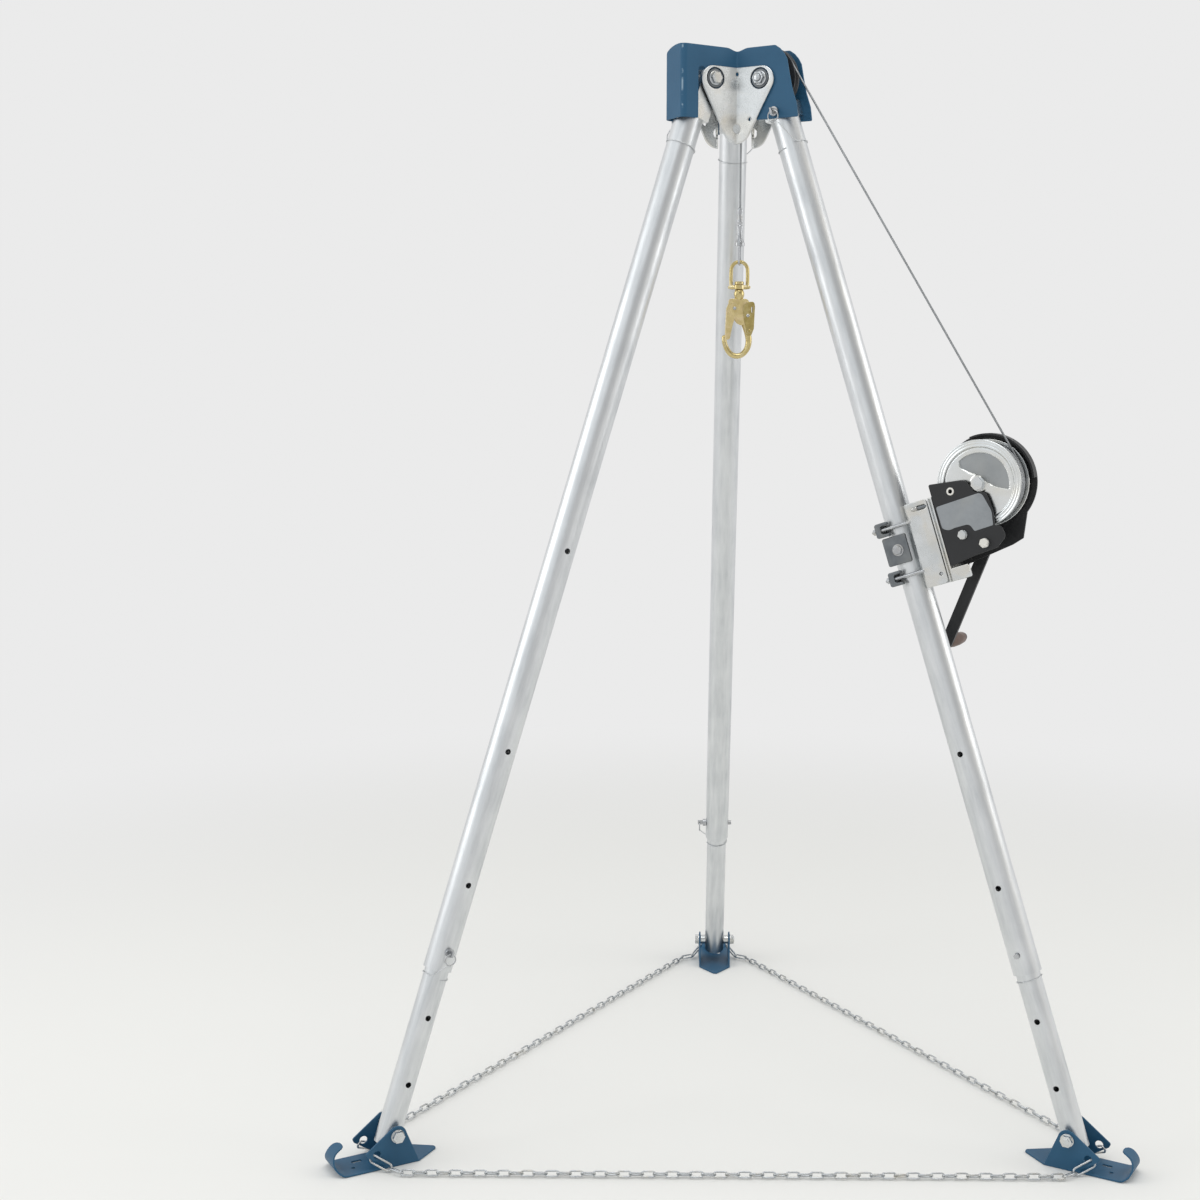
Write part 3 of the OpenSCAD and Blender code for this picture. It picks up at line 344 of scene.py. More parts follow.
def wireRope(name):
    look = ropes[name]
    material, tree = newMaterial(name)
    unwrapped = addNode(tree, "UVMap", {"uv_map": "alongRope"})
    parts = addNode(tree, "SeparateXYZ", {}, {0: unwrapped})
    around = addNode(tree, "Math", {"operation": "MULTIPLY", 1: 12.0}, {0: parts})
    along = addNode(tree, "Math", {"operation": "MULTIPLY_ADD", 1: 1000 / look["wireMm"] / 4},
                    {0: parts.outputs[1], 2: around})
    phase = addNode(tree, "Math", {"operation": "MULTIPLY", 1: 6.2832}, {0: along})
    wave = addNode(tree, "Math", {"operation": "SINE"}, {0: phase})
    place = addNode(tree, "TexCoord").outputs["Object"]
    dirt = addNode(tree, "TexNoise", {"Scale": 90, "Detail": 5}, {"Vector": place})
    # painted shade: the colour turns to the gap colour in the grooves between the wires, with some dirt noise added
    amount = addNode(tree, "MapRange", {"From Min": -1.0, "From Max": 0.1, "To Min": 0.55, "To Max": 0.0},
                     {"Value": wave})
    grooveShadeAndDirt = addNode(tree, "Math", {"operation": "MULTIPLY_ADD", 1: 0.3}, {0: dirt, 2: amount})
    colour = addNode(tree, "Mix", {"data_type": "RGBA", 6: linear(look["colour"]), 7: linear(look["gap"])},
                     {0: grooveShadeAndDirt})
    rough = addNode(tree, "MapRange", {"To Min": 0.3, "To Max": 0.5}, {"Value": dirt})
    bump = addNode(tree, "Bump", {"Strength": 0.4, "Distance": 0.0002}, {"Height": wave})
    shader = addNode(tree, "BsdfPrincipled", {"Metallic": 0.9},
                     {"Base Color": colour.outputs[2], "Roughness": rough, "Normal": bump})
    addNode(tree, "OutputMaterial", {}, {"Surface": shader})
    return material


finish = {"powderCoatBlue": powderCoatBlue()}
for side in sides:
    finish["aluminium_" + side] = extrudedAluminium(side)
for name in plated:
    finish[name] = platedSteel(name)
for name in coated:
    finish[name] = coatedFinish(name)
for name in ropes:
    finish[name] = wireRope(name)
print("finishes made:", len(finish))


def deselectAll():
    if bpy.context.object and bpy.context.object.mode != "OBJECT":
        bpy.ops.object.mode_set(mode="OBJECT")
    bpy.ops.object.select_all(action="DESELECT")


def makeActive(piece):
    deselectAll()
    piece.select_set(True)
    bpy.context.view_layer.objects.active = piece


def dress(piece, look):
    piece.data.materials.clear()
    piece.data.materials.append(finish[look])
    return piece


# corners are (x, z) or (x, z, radius), where the radius rounds that corner
def rounded(corners, closed=True, steps=8):
    out = []
    for i, corner in enumerate(corners):
        p = Vector(corner[:2])
        inner = closed or 0 < i < len(corners) - 1
        if len(corner) < 3 or not inner:
            out.append(p)
            continue
        a = Vector(corners[i - 1][:2]) - p
        b = Vector(corners[(i + 1) % len(corners)][:2]) - p
        half = a.angle(b) / 2
        cut = min(corner[2] / math.tan(half), 0.49 * a.length, 0.49 * b.length)
        radius = cut * math.tan(half)
        centre = p + (a.normalized() + b.normalized()).normalized() * radius / math.sin(half)
        first = p + a.normalized() * cut - centre
        last = p + b.normalized() * cut - centre
        sweep = first.angle(last)
        for k in range(steps + 1):
            t = k / steps
            share = (math.sin((1 - t) * sweep) / math.sin(sweep), math.sin(t * sweep) / math.sin(sweep))
            out.append(centre + first * share[0] + last * share[1])
    return out


def roundHole(x, z, radius, count=32):
    turns = [2 * math.pi * i / count for i in range(count)]
    return [Vector((x + radius * math.cos(a), z + radius * math.sin(a))) for a in turns]


def box(x0, x1, z0, z1, radius, steps=8):
    return rounded([(x0, z0, radius), (x1, z0, radius), (x1, z1, radius), (x0, z1, radius)], steps=steps)


def sixSided(radius, ease):
    turns = [math.radians(60 * i) for i in range(6)]
    return rounded([(radius * math.cos(a), radius * math.sin(a), ease) for a in turns], steps=3)


def hexagon(flats, ease):
    return sixSided(flats / math.sqrt(3), ease)


# a place moved by (x, z) in its own frame
def shifted(place, at):
    return place @ Matrix.Translation((at[0], 0, at[1]))


# a flat plate with eased edges: outlines in (x, z), the edge first and then the holes, between two depths in y
def flatPlate(name, outlines, low, high, edge, place):
    data = bpy.data.curves.new(name, "CURVE")
    data.dimensions = "2D"
    data.fill_mode = "BOTH"
    data.extrude = (high - low) / 2 - edge
    data.bevel_depth = edge
    data.bevel_resolution = 2
    data.offset = -edge
    for outline in outlines:
        spline = data.splines.new("POLY")
        spline.points.add(len(outline) - 1)
        for point, (x, z) in zip(spline.points, outline):
            point.co = (x, z, 0, 1)
        spline.use_cyclic_u = True
    shape = bpy.data.objects.new(name, data)
    scene.collection.objects.link(shape)
    makeActive(shape)
    bpy.ops.object.convert(target="MESH")
    piece = bpy.context.object
    piece.data.transform(place @ Matrix.Translation((0, (low + high) / 2, 0)) @ turn(90, "X"))
    return piece


def meshPiece(name, bm):
    mesh = bpy.data.meshes.new(name)
    bm.to_mesh(mesh)
    bm.free()
    piece = bpy.data.objects.new(name, mesh)
    scene.collection.objects.link(piece)
    return piece


@contextmanager
def editing(piece):
    bm = bmesh.new()
    bm.from_mesh(piece.data)
    yield bm
    bm.to_mesh(piece.data)
    bm.free()


# a turned form: (radius, y) pairs round the y axis, closed where they end on the axis or where they began
def turned(name, profile, place, count=64):
    bm = bmesh.new()
    rings = []
    for r, y in profile:
        if r < 1e-6:
            rings.append([bm.verts.new((0, y, 0))])
        else:
            turns = [2 * math.pi * i / count for i in range(count)]
            rings.append([bm.verts.new((r * math.cos(a), y, r * math.sin(a))) for a in turns])
    pairs = list(zip(rings, rings[1:]))
    if len(rings[0]) > 1 and len(rings[-1]) > 1:
        pairs.append((rings[-1], rings[0]))
    for low, high in pairs:
        for i in range(count):
            k = (i + 1) % count
            ring = [low[i % len(low)], low[k % len(low)], high[k % len(high)], high[i % len(high)]]
            bm.faces.new(list(dict.fromkeys(ring)))
    piece = meshPiece(name, bm)
    piece.data.transform(place)
    return piece


# a round bar along a route, with a radius for each point and round ends
def roundBar(name, route, radii, place, sides=14):
    bm = bmesh.new()
    n = (route[1] - route[0]).orthogonal().normalized()
    rings = []
    for i, p in enumerate(route):
        t = (route[min(i + 1, len(route) - 1)] - route[max(i - 1, 0)]).normalized()
        n = (n - t * n.dot(t)).normalized()
        b = t.cross(n)
        steps = [(0, 1)]
        if i == 0:
            steps = [(-0.9, 0.3), (-0.6, 0.75), (-0.25, 0.95), (0, 1)]
        if i == len(route) - 1:
            steps = [(0, 1), (0.25, 0.95), (0.6, 0.75), (0.9, 0.3)]
        for ahead, share in steps:
            ring = []
            for j in range(sides):
                a = 2 * math.pi * j / sides
                outward = math.cos(a) * n + math.sin(a) * b
                ring.append(bm.verts.new(p + t * ahead * radii[i] + share * radii[i] * outward))
            rings.append(ring)
    for low, high in zip(rings, rings[1:]):
        for j in range(sides):
            k = (j + 1) % sides
            bm.faces.new((low[j], low[k], high[k], high[j]))
    bm.faces.new(list(reversed(rings[0])))
    bm.faces.new(rings[-1])
    piece = meshPiece(name, bm)
    piece.data.transform(place)
    return piece


def joined(name, pieces):
    makeActive(pieces[0])
    for other in pieces[1:]:
        other.select_set(True)
    bpy.ops.object.join()
    piece = bpy.context.object
    piece.name = name
    return piece


# the piece is the active object
def shadeEvenly(piece):
    bpy.ops.object.shade_smooth()
    weighted = piece.modifiers.new("evenShade", "WEIGHTED_NORMAL")
    weighted.keep_sharp = False
    bpy.ops.object.modifier_apply(modifier=weighted.name)


# welds, turns the faces outward, shades evenly, then fixes the piece to its body
def settle(piece, body, look, slot, *replaced):
    makeActive(piece)
    with editing(piece) as bm:
        bmesh.ops.remove_doubles(bm, verts=bm.verts, dist=2e-6)
        bmesh.ops.dissolve_degenerate(bm, dist=1e-7, edges=bm.edges)
        bmesh.ops.recalc_face_normals(bm, faces=bm.faces)
    shadeEvenly(piece)
    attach(piece, body)
    if replaced:
        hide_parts(*replaced)
    return dress(piece, look)


# how far along a line each of its points lies
def reachAlong(line, start=0.0):
    reach = [start]
    for a, b in zip(line, line[1:]):
        reach.append(reach[-1] + (b - a).length)
    return reach


# bends a flat blank: its x runs along a line in plan, its thickness stands across that line
def bendAlong(piece, line, start=0.0):
    reach = reachAlong(line, start)
    ways = [(b - a).normalized() for a, b in zip(line, line[1:])]
    with editing(piece) as bm:
        for cut in reach[1:-1]:
            bmesh.ops.bisect_plane(bm, geom=bm.verts[:] + bm.edges[:] + bm.faces[:], plane_co=(cut, 0, 0),
                                   plane_no=(1, 0, 0), dist=1e-4)
        for v in bm.verts:
            i = max(0, min(len(ways) - 1, sum(1 for r in reach[1:-1] if r < v.co.x - 1e-3)))
            way = ways[i]
            across = Vector((-way.y, way.x))
            # on a bend line the wall stands half way between its two sides
            if i + 1 < len(ways) and abs(v.co.x - reach[i + 1]) < 2e-3:
                both = (way + ways[i + 1]).normalized()
                across = Vector((-both.y, both.x)) / both.dot(way)
            at = line[i] + way * (v.co.x - reach[i]) + across * v.co.y
            v.co = (at.x, at.y, v.co.z)
    return piece


# a smooth line through a few points, at even steps
def smoothRoute(points, step):
    p = [Vector(q) for q in points]
    p = [2 * p[0] - p[1]] + p + [2 * p[-1] - p[-2]]
    fine = []
    for i in range(1, len(p) - 2):
        for k in range(24):
            t = k / 24
            fine.append(0.5 * (2 * p[i] + (p[i + 1] - p[i - 1]) * t
                               + (2 * p[i - 1] - 5 * p[i] + 4 * p[i + 1] - p[i + 2]) * t ** 2
                               + (3 * p[i] - p[i - 1] - 3 * p[i + 1] + p[i + 2]) * t ** 3))
    fine.append(p[-2])
    return evenRoute(fine, step)


def evenRoute(fine, step):
    reach = reachAlong(fine)
    count = max(2, round(reach[-1] / step))
    out = []
    k = 0
    for i in range(count + 1):
        want = reach[-1] * i / count
        while k < len(fine) - 2 and reach[k + 1] < want:
            k += 1
        share = (want - reach[k]) / max(1e-9, reach[k + 1] - reach[k])
        out.append(fine[k].lerp(fine[k + 1], min(1, share)))
    return out


def routeLength(points):
    return sum((b - a).length for a, b in zip(points, points[1:]))


# a laid rope: twelve sides that twist along the route, crest and valley by turns, so six strands show
def laidRope(name, route, v, look="galvanisedRope"):
    bm = bmesh.new()
    uv = bm.loops.layers.uv.new("alongRope")
    radius = v["diameter"] / 1000 / 2
    t = (route[1] - route[0]).normalized()
    n = t.orthogonal().normalized()
    rings = []
    reach = 0.0
    for i, p in enumerate(route):
        t = (route[min(i + 1, len(route) - 1)] - route[max(i - 1, 0)]).normalized()
        n = (n - t * n.dot(t)).normalized()
        b = t.cross(n)
        if i:
            reach += (p - route[i - 1]).length
        spin = 2 * math.pi * reach / (v["lay"] / 1000)
        ring = []
        for j in range(12):
            a = 2 * math.pi * j / 12 + spin
            r = radius if j % 2 == 0 else radius * 0.84
            ring.append(bm.verts.new(p + r * (math.cos(a) * n + math.sin(a) * b)))
        rings.append((ring, reach))
    for (low, r0), (high, r1) in zip(rings, rings[1:]):
        for j in range(12):
            k = (j + 1) % 12
            face = bm.faces.new((low[j], low[k], high[k], high[j]))
            face.smooth = True
            for loop, (u, far) in zip(face.loops, ((j, r0), (j + 1, r0), (j + 1, r1), (j, r1))):
                loop[uv].uv = (u / 12, far)
    bm.faces.new(list(reversed(rings[0][0])))
    bm.faces.new(rings[-1][0])
    bm.normal_update()
    return dress(meshPiece(name, bm), look)


# lift line: up from the drum, over the sheave, down to the hook
liftLine = {
    "diameter": 4.8, "lay": 30, "sheaveRadius": 66, "dropLength": 268, "drumAt": (221, -987),
    "woundRadius": 85, "turns": 7, "pitch": 5.4, "exitAt": 14, "under": (9, 4.9, -25.0),
    "turnSteps": 48, "nest": 0.86, "underStep": 1.6,
}


def makeLiftLine():
    v = liftLine
    step = v["lay"] / 10000
    across, down = v["drumAt"]
    far = math.hypot(across, down)
    dirX, dirZ = across / far, down / far
    c = (v["sheaveRadius"] - v["woundRadius"]) / far
    k = math.sqrt(1 - c * c)
    normX, normZ = c * dirX - k * dirZ, c * dirZ + k * dirX
    angle = math.atan2(normZ, normX)
    place = hingeFrame["right"]
    top = Vector((v["sheaveRadius"] * normX, 0, v["sheaveRadius"] * normZ))
    low = Vector((across + v["woundRadius"] * normX, v["exitAt"], down + v["woundRadius"] * normZ))
    run = [place @ low.lerp(top, i / 24) for i in range(25)]
    up = laidRope("liftLineUp", evenRoute(run, step), v)
    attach(up, "leg_right")
    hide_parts("line_up")
    hinge = armFrame["right"] @ Matrix.Translation((tripod["hingeRadius"], 0, hingeHeight))
    first = angle + lean
    arc = [hinge @ Vector((v["sheaveRadius"] * math.cos(a), 0, v["sheaveRadius"] * math.sin(a)))
           for a in [first + (math.pi - first) * i / 30 for i in range(31)]]
    over = laidRope("liftLineOver", evenRoute(arc, step), v)
    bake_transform(over)
    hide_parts("line_drop")
    drop = [hinge @ Vector((-v["sheaveRadius"], 0, -v["dropLength"] * i / 20)) for i in range(21)]
    hang = laidRope("liftLineDrop", evenRoute(drop, step), v)
    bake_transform(hang)
    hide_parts("line_drop")
    # two layers on the drum, the outer one ending where the line leaves
    drumPlace = shifted(hingeFrame["right"], v["drumAt"])

    def helix(radius, turns, pitch, begin):
        n = v["turnSteps"]
        spots = [(angle + 2 * math.pi * i / n, begin + i * pitch / n) for i in range(turns * n + 1)]
        return [drumPlace @ Vector((radius * math.cos(a), y, radius * math.sin(a))) for a, y in spots]

    outer = helix(v["woundRadius"], v["turns"], v["pitch"], v["exitAt"] - v["turns"] * v["pitch"])
    wound = laidRope("drumWinding", evenRoute(outer, step), v)
    under = helix(v["woundRadius"] - v["diameter"] * v["nest"], *v["under"])
    bed = laidRope("drumUnderLayer", evenRoute(under, step * v["underStep"]), v)
    for piece in (wound, bed):
        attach(piece, "drum")
        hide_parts("drum_line")
    print("lift line laid:", round(routeLength(run) + routeLength(arc) + routeLength(drop), 3), "m free")


makeLiftLine()

# lanyards: a fine cable from each pin's ring to a loop round the leg
lanyard = {"diameter": 2.4, "lay": 14, "ringRadius": 12, "ringWire": 2.8, "ringAt": 9, "pinHead": 8, "clear": 0.4,
           "loopGap": 1.6, "stopAt": 80, "stopSeat": 38.5}


# height of the cable where it goes under a pin's hanging ring
def ringLow(at):
    v = lanyard
    return -at - 2 * v["ringRadius"] - v["ringWire"] / 2 - v["diameter"] / 2 - v["clear"]


def lockRoute():
    v = lanyard
    seat = tripod["tubeDiameter"] / 2 + 1
    y = seat + v["pinHead"] + v["ringAt"]
    low = ringLow(tripod["lockAt"])
    loop = tripod["innerDiameter"] / 2 + v["loopGap"]
    return [(-5, y, low), (4, y, low), (12, 44, low - 12)] + [
        (loop * math.cos(math.radians(a)), loop * math.sin(math.radians(a)),
         -tripod["tubeEnd"] - 12 + (a - 50) / 40) for a in range(50, -266, -35)]


def stopRoute():
    v = lanyard
    y = v["stopSeat"] + v["pinHead"] + v["ringAt"]
    low = ringLow(v["stopAt"])
    loop = tripod["tubeDiameter"] / 2 + v["loopGap"]
    return [(-5, -y, low), (4, -y, low), (14, -49, low - 22)] + [
        (loop * math.cos(math.radians(a)), loop * math.sin(math.radians(a)), low - 46 - (a + 50) / 40)
        for a in range(-50, 266, 35)]


def cable(name, route, node):
    piece = laidRope(name, evenRoute(route, lanyard["lay"] / 8000), lanyard, "stainlessCable")
    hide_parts(node)
    few = evenRoute(route, routeLength(route) / 30)
    return piece, few


def makeLanyards():
    for side in sides:
        route = smoothRoute([legFrame[side] @ Vector(p) for p in reversed(lockRoute())], 0.001)
        piece, few = cable("lockLanyard_" + side, route, "lock_lanyard_" + side)
        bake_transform(piece)
        # the upper lanyard goes from leg to head to pin, in two pieces that meet
        route = smoothRoute([legFrame[side] @ Vector(p) for p in reversed(stopRoute())], 0.001)
        corner = legFrame[side] @ Vector(stopRoute()[2])
        cut = min(range(len(route)), key=lambda i: (route[i] - corner).length)
        piece, few = cable("stopLanyard_" + side, route[:cut + 1], "stop_lanyard_" + side)
        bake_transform(piece)
        piece, few = cable("stopLanyardEnd_" + side, route[cut:], "stop_lanyard_" + side)
        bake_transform(piece)
    print("lanyards laid")


makeLanyards()

# foot chains: welded links of round wire, each link turned against the next
chain = {"wire": 4, "half": 6, "gap": 0.4, "pitch": 25.8, "wireSides": 6, "bendSteps": 5, "hole": (47, -34)}
# the long link at a foot goes through the hole, behind the strip of cheek below it and out again
endLink = {"wire": 4.8, "half": 8, "gap": 0.4, "pitch": 46, "wireSides": 10, "bendSteps": 8,
           "strip": 11.5, "behind": 7, "swing": 8, "drop": 26, "next": (28, 18.5)}


def addLink(bm, a, b, side, v):
    along = (b - a).normalized()
    out = (side - along * side.dot(along)).normalized()
    up = along.cross(out)
    mid = (a + b) / 2
    c = ((b - a).length + v["wire"] + v["gap"]) / 2 - v["half"]
    spine = []
    for end in (1, -1):
        for k in range(v["bendSteps"] + 1):
            t = math.radians(-90 + 180 * k / v["bendSteps"])
            spine.append((end * (c + v["half"] * math.cos(t)), end * v["half"] * math.sin(t),
                          end * math.cos(t), end * math.sin(t)))
    rings = []
    for x, y, nx, ny in spine:
        ring = []
        for j in range(v["wireSides"]):
            w = 2 * math.pi * j / v["wireSides"]
            r = v["wire"] / 2
            p = mid + along * (x + r * math.cos(w) * nx) + out * (y + r * math.cos(w) * ny) + up * (r * math.sin(w))
            ring.append(bm.verts.new(p))
        rings.append(ring)
    for i, low in enumerate(rings):
        high = rings[(i + 1) % len(rings)]
        for j in range(v["wireSides"]):
            k = (j + 1) % v["wireSides"]
            bm.faces.new((low[j], low[k], high[k], high[j])).smooth = True


# links of one half of a run in the frame of its leg, from the foot to the middle
def halfRun(mirrored):
    v, e = chain, endLink
    flip = Vector((1, -1 if mirrored else 1, 1))
    runDir = Vector((-math.cos(math.radians(30)), 0.5, 0))
    runOut = Vector((0.5, math.cos(math.radians(30)), 0))
    stripDir = Vector((27, 0, -39)).normalized()
    hole = Vector((footRadius + v["hole"][0], tripod["footHalf"] - 2, tripod["pivotHeight"] + v["hole"][1]))
    swing, drop = math.radians(e["swing"]), math.radians(e["drop"])
    pull = (runDir * math.cos(swing) + runOut * math.sin(swing)) * math.cos(drop) - Vector((0, 0, math.sin(drop)))
    first = hole + stripDir * e["strip"] - pull * e["behind"]
    joint = first + pull * e["pitch"]
    start = joint + runDir * e["next"][0] + runOut * e["next"][1]
    start.z = v["half"] * math.sin(math.radians(45)) + v["wire"] / 2 + 2.3
    runLength = 2 * (start.x * math.cos(math.radians(30)) - start.y * 0.5)
    count = 2 * math.floor(runLength / v["pitch"] / 2) + 1
    links = [(first, joint, stripDir, e), (joint, start, pull.cross(stripDir), v)]
    for k in range(count // 2 + (0 if mirrored else 1)):
        lift = Vector((0, 0, -1 if k % 2 == 0 else 1))
        links.append((start + runDir * runLength * k / count, start + runDir * runLength * (k + 1) / count,
                      runOut + lift, v))
    return [(a * flip, b * flip, side * flip, shape) for a, b, side, shape in links]


def chainPiece(name, side, links, node):
    bm = bmesh.new()
    for a, b, across, shape in links:
        addLink(bm, a, b, across, shape)
    bmesh.ops.recalc_face_normals(bm, faces=bm.faces)
    bm.transform(armFrame[side])
    piece = meshPiece(name, bm)
    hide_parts(node)
    return dress(piece, "brightChainSteel")


def makeChains():
    runs = {"chain_front": ("left", "right"), "chain_right": ("right", "rear"), "chain_left": ("rear", "left")}
    for node, ends in runs.items():
        for mirrored, side in enumerate(ends):
            links = halfRun(bool(mirrored))
            name = node + "_" + side
            hook = chainPiece(name + "_hook", side, links[:1], node)
            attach(hook, "foot_" + side)
            # from the foot inwards the run is cut into three stretches
            cuts = [1, 4, 10, len(links)]
            for k, stretch in enumerate(("near", "low", "run")):
                some = links[cuts[k]:cuts[k + 1]]
                piece = chainPiece(name + "_" + stretch, side, some, node)
                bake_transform(piece)
    print("chains laid")


makeChains()


# the head is one long strip of sheet, cut flat and bent round its three arms
headSheet = {
    "half": 36, "sheet": 4, "end": 161, "bend": 13, "valley": 8, "open": 171, "top": 67, "low": -86, "band": 22,
    "tab": 24, "hinge": 80, "dip": 6, "dipReach": 28, "shoulder": (55, 22, 70),
    "valleyAt": 20.8, "edgeFrom": 108, "wallFrom": 120, "boltHole": 8.2, "stopHole": (116.2, -72.2, 6.5),
    "cheek": [(171, -86, 3), (167, -57, 14), (156, -25, 30), (149, 6, 30), (143, 36, 8), (136, 48, 8),
              (126, 59, 10), (114, 67, 14)],
}


def headPlan():
    v = headSheet
    spin = {s: Matrix.Rotation(math.radians(tripod["azimuth"][s]), 2) for s in sides}
    corners = []
    for side, u, t, r in [("right", v["open"], -1, 0), ("front", 0, 0, 0), ("left", v["end"], 1, v["bend"]),
                          ("left", v["end"], -1, v["bend"]), ("back", 150, 0, 0), ("rear", v["end"], 1, v["bend"]),
                          ("rear", v["end"], -1, v["bend"]), ("back", 30, 0, 0), ("right", v["open"], 1, 0)]:
        if side in spin:
            p = spin[side] @ Vector((u, t * v["half"]))
            corners.append((p.x, p.y, r) if r else (p.x, p.y))
        else:
            a = math.radians(270 if side == "front" else u)
            far = v["half"] / math.sin(math.radians(60))
            corners.append((far * math.cos(a), far * math.sin(a), v["valley"]))
    return rounded(corners, closed=False, steps=9), spin


def makeHead():
    v = headSheet
    line, spin = headPlan()
    reach = reachAlong(line)

    # where a point of an arm's wall lies along the strip
    def along(side, t, u):
        p = spin[side] @ Vector((u, t * v["half"]))
        best = None
        for i in range(len(line) - 1):
            a, b = line[i], line[i + 1]
            k = max(0, min(1, (p - a).dot(b - a) / (b - a).length_squared))
            off = (a + (b - a) * k - p).length
            if best is None or off < best[0] - 1e-9:
                best = (off, reach[i] + (b - a).length * k)
        return best[1]

    valleys = [(along(a, -1, v["valleyAt"]) + along(b, 1, v["valleyAt"])) / 2
               for a, b in (("right", "left"), ("left", "rear"), ("rear", "right"))]

    # the end wall of a closed arm is rounded off towards its far corner
    corners = [along(side, -1, v["end"]) for side in ("left", "rear")]
    across, drop, back = v["shoulder"]

    def topEdge(x):
        z = v["top"]
        for middleOf in valleys:
            d = abs(x - middleOf)
            if d < v["dipReach"]:
                z -= v["dip"] * (0.5 + 0.5 * math.cos(math.pi * d / v["dipReach"]))
        for corner in corners:
            if corner - across < x <= corner:
                z -= drop * (1 - math.sqrt(1 - ((x - corner + across) / across) ** 2))
            if corner < x < corner + back:
                z -= drop * (0.5 + 0.5 * math.cos(math.pi * (x - corner) / back))
        return z

    outline = [(along("right", -1, u), z, r) for u, z, r in v["cheek"]]
    first, last = along("right", -1, v["edgeFrom"]), along("right", 1, v["edgeFrom"])
    count = round((last - first) / 3)
    outline += [(first + (last - first) * i / count, topEdge(first + (last - first) * i / count))
                for i in range(count + 1)]
    outline += [(along("right", 1, u), z, r) for u, z, r in reversed(v["cheek"])]
    hinge, tab = v["hinge"], v["tab"]
    arc = [(hinge + tab * math.cos(math.radians(a)), tab * math.sin(math.radians(a))) for a in range(0, -181, -12)]
    # the bottom edge comes back: a full wall beyond the hinge, a tab round its bolt, a band over the valley
    for inward, outward in (("right", "rear"), ("rear", "left"), ("left", "right")):
        wall = along(inward, 1, v["wallFrom"])
        outline += [(wall, v["low"], 3), (wall, v["band"], 6), (along(inward, 1, hinge + tab), v["band"], 6)]
        outline += [(along(inward, 1, u), z) for u, z in arc]
        outline += [(along(inward, 1, hinge - tab), v["band"], 6), (along(outward, -1, hinge - tab), v["band"], 6)]
        if outward == "right":
            outline.append((along(outward, -1, hinge - tab), v["low"], 8))
            continue
        outline += [(along(outward, -1, u), z) for u, z in reversed(arc[3:])]
        outline += [(along(outward, -1, hinge + tab), -16, 3), (along(outward, -1, hinge + tab), v["low"], 3)]
    holes = []
    for side in sides:
        holes += [roundHole(along(side, t, hinge), 0, v["boltHole"]) for t in (-1, 1)]
        far, low, radius = v["stopHole"]
        holes.append(roundHole(along(side, -1, far), low, radius))
    blank = flatPlate("headFrame", [rounded(outline)] + holes, -v["sheet"] / 2, v["sheet"] / 2, 1.3, Matrix())
    bendAlong(blank, line)
    blank.data.transform(headFrame)
    settle(blank, "head", "powderCoatBlue", "blue_paint", "head_frame")
    print("head bent from a strip of", round(reach[-1]), "mm")


makeHead()

# anchor plates: a heart-shaped blank folded down its middle, with wide holes for the hinge washers
anchorPlate = {
    "offset": 41, "thick": 6, "fold": 4, "bolt": 58.06, "lobe": 62.06, "lobeAt": -4, "round": 30, "tipRound": 36,
    "tipAt": -99, "washerHole": 22, "eye": 10, "eyeAt": -103, "azimuth": {"front": 270, "right": 30, "left": 150},
    "armHalf": 38, "wing": 110, "smallHoles": [(0, 12, 4), (33, -84, 4)],
}


def makeAnchorPlates():
    v = anchorPlate
    slant = math.radians(60)
    far = v["offset"] / math.sin(slant)
    shift = v["offset"] / math.tan(slant) - v["armHalf"] / math.tan(slant)
    lobe = v["lobe"] - shift
    span = Vector((-lobe, v["tipAt"] - v["lobeAt"]))
    slope = math.atan2(span.y, span.x) + math.acos((v["round"] - v["tipRound"]) / span.length)
    half = [(lobe + v["round"] * math.cos(a), v["lobeAt"] + v["round"] * math.sin(a))
            for a in [math.pi / 2 + (slope - math.pi / 2) * i / 16 for i in range(17)]]
    half += [(v["tipRound"] * math.cos(a), v["tipAt"] + v["tipRound"] * math.sin(a))
             for a in [slope + (-math.pi / 2 - slope) * i / 8 for i in range(9)]]
    outline = half + [(-x, z) for x, z in reversed(half[:-1])]
    for name, azimuth in v["azimuth"].items():
        holes = [roundHole(k * (v["bolt"] - shift), 0, v["washerHole"], 48) for k in (-1, 1)]
        holes += [roundHole(0, v["eyeAt"], v["eye"])] + [roundHole(*hole, 20) for hole in v["smallHoles"]]
        blank = flatPlate("anchorPlate_" + name, [[Vector(p) for p in outline]] + holes, -v["thick"] / 2,
                          v["thick"] / 2, 1.7, Matrix())
        ends = [Vector((far + v["wing"] * math.cos(slant), k * v["wing"] * math.sin(slant))) for k in (-1, 1)]
        line = rounded([ends[0][:], (far, 0, v["fold"]), ends[1][:]], closed=False, steps=6)
        bendAlong(blank, line, -routeLength(line) / 2)
        blank.data.transform(headFrame @ turn(azimuth, "Z"))
        settle(blank, "head", "clearZincPlate", "zinc_plate", "anchor_plate_" + name)
    print("anchor plates folded")


makeAnchorPlates()

# winch front plate: black sheet with a stepped outline, a bare plate where maker's data would sit
frontPlate = {
    "edge": [(102.4, -957, 4), (183, -970, 17), (198, -1001, 9), (222, -1010, 14), (226, -1050, 40),
             (221, -1082, 2.5), (234, -1086, 9), (238, -1110, 13), (213, -1128, 10), (160, -1131, 60),
             (102.4, -1139, 5)],
    "blank": [(106, -1008, 5), (212, -1006, 12), (223, -1050, 30), (218, -1080, 3), (175, -1081, 4),
              (168, -1063, 12), (134, -1062, 8), (120, -1064, 20), (107, -1056, 9)],
    "front": -42, "back": -38, "ring": (147, -985), "bolt": (148, -1081), "cap": (190, -1111),
    "capRadius": 10.8, "boss": (169.39, -1097.45),
}


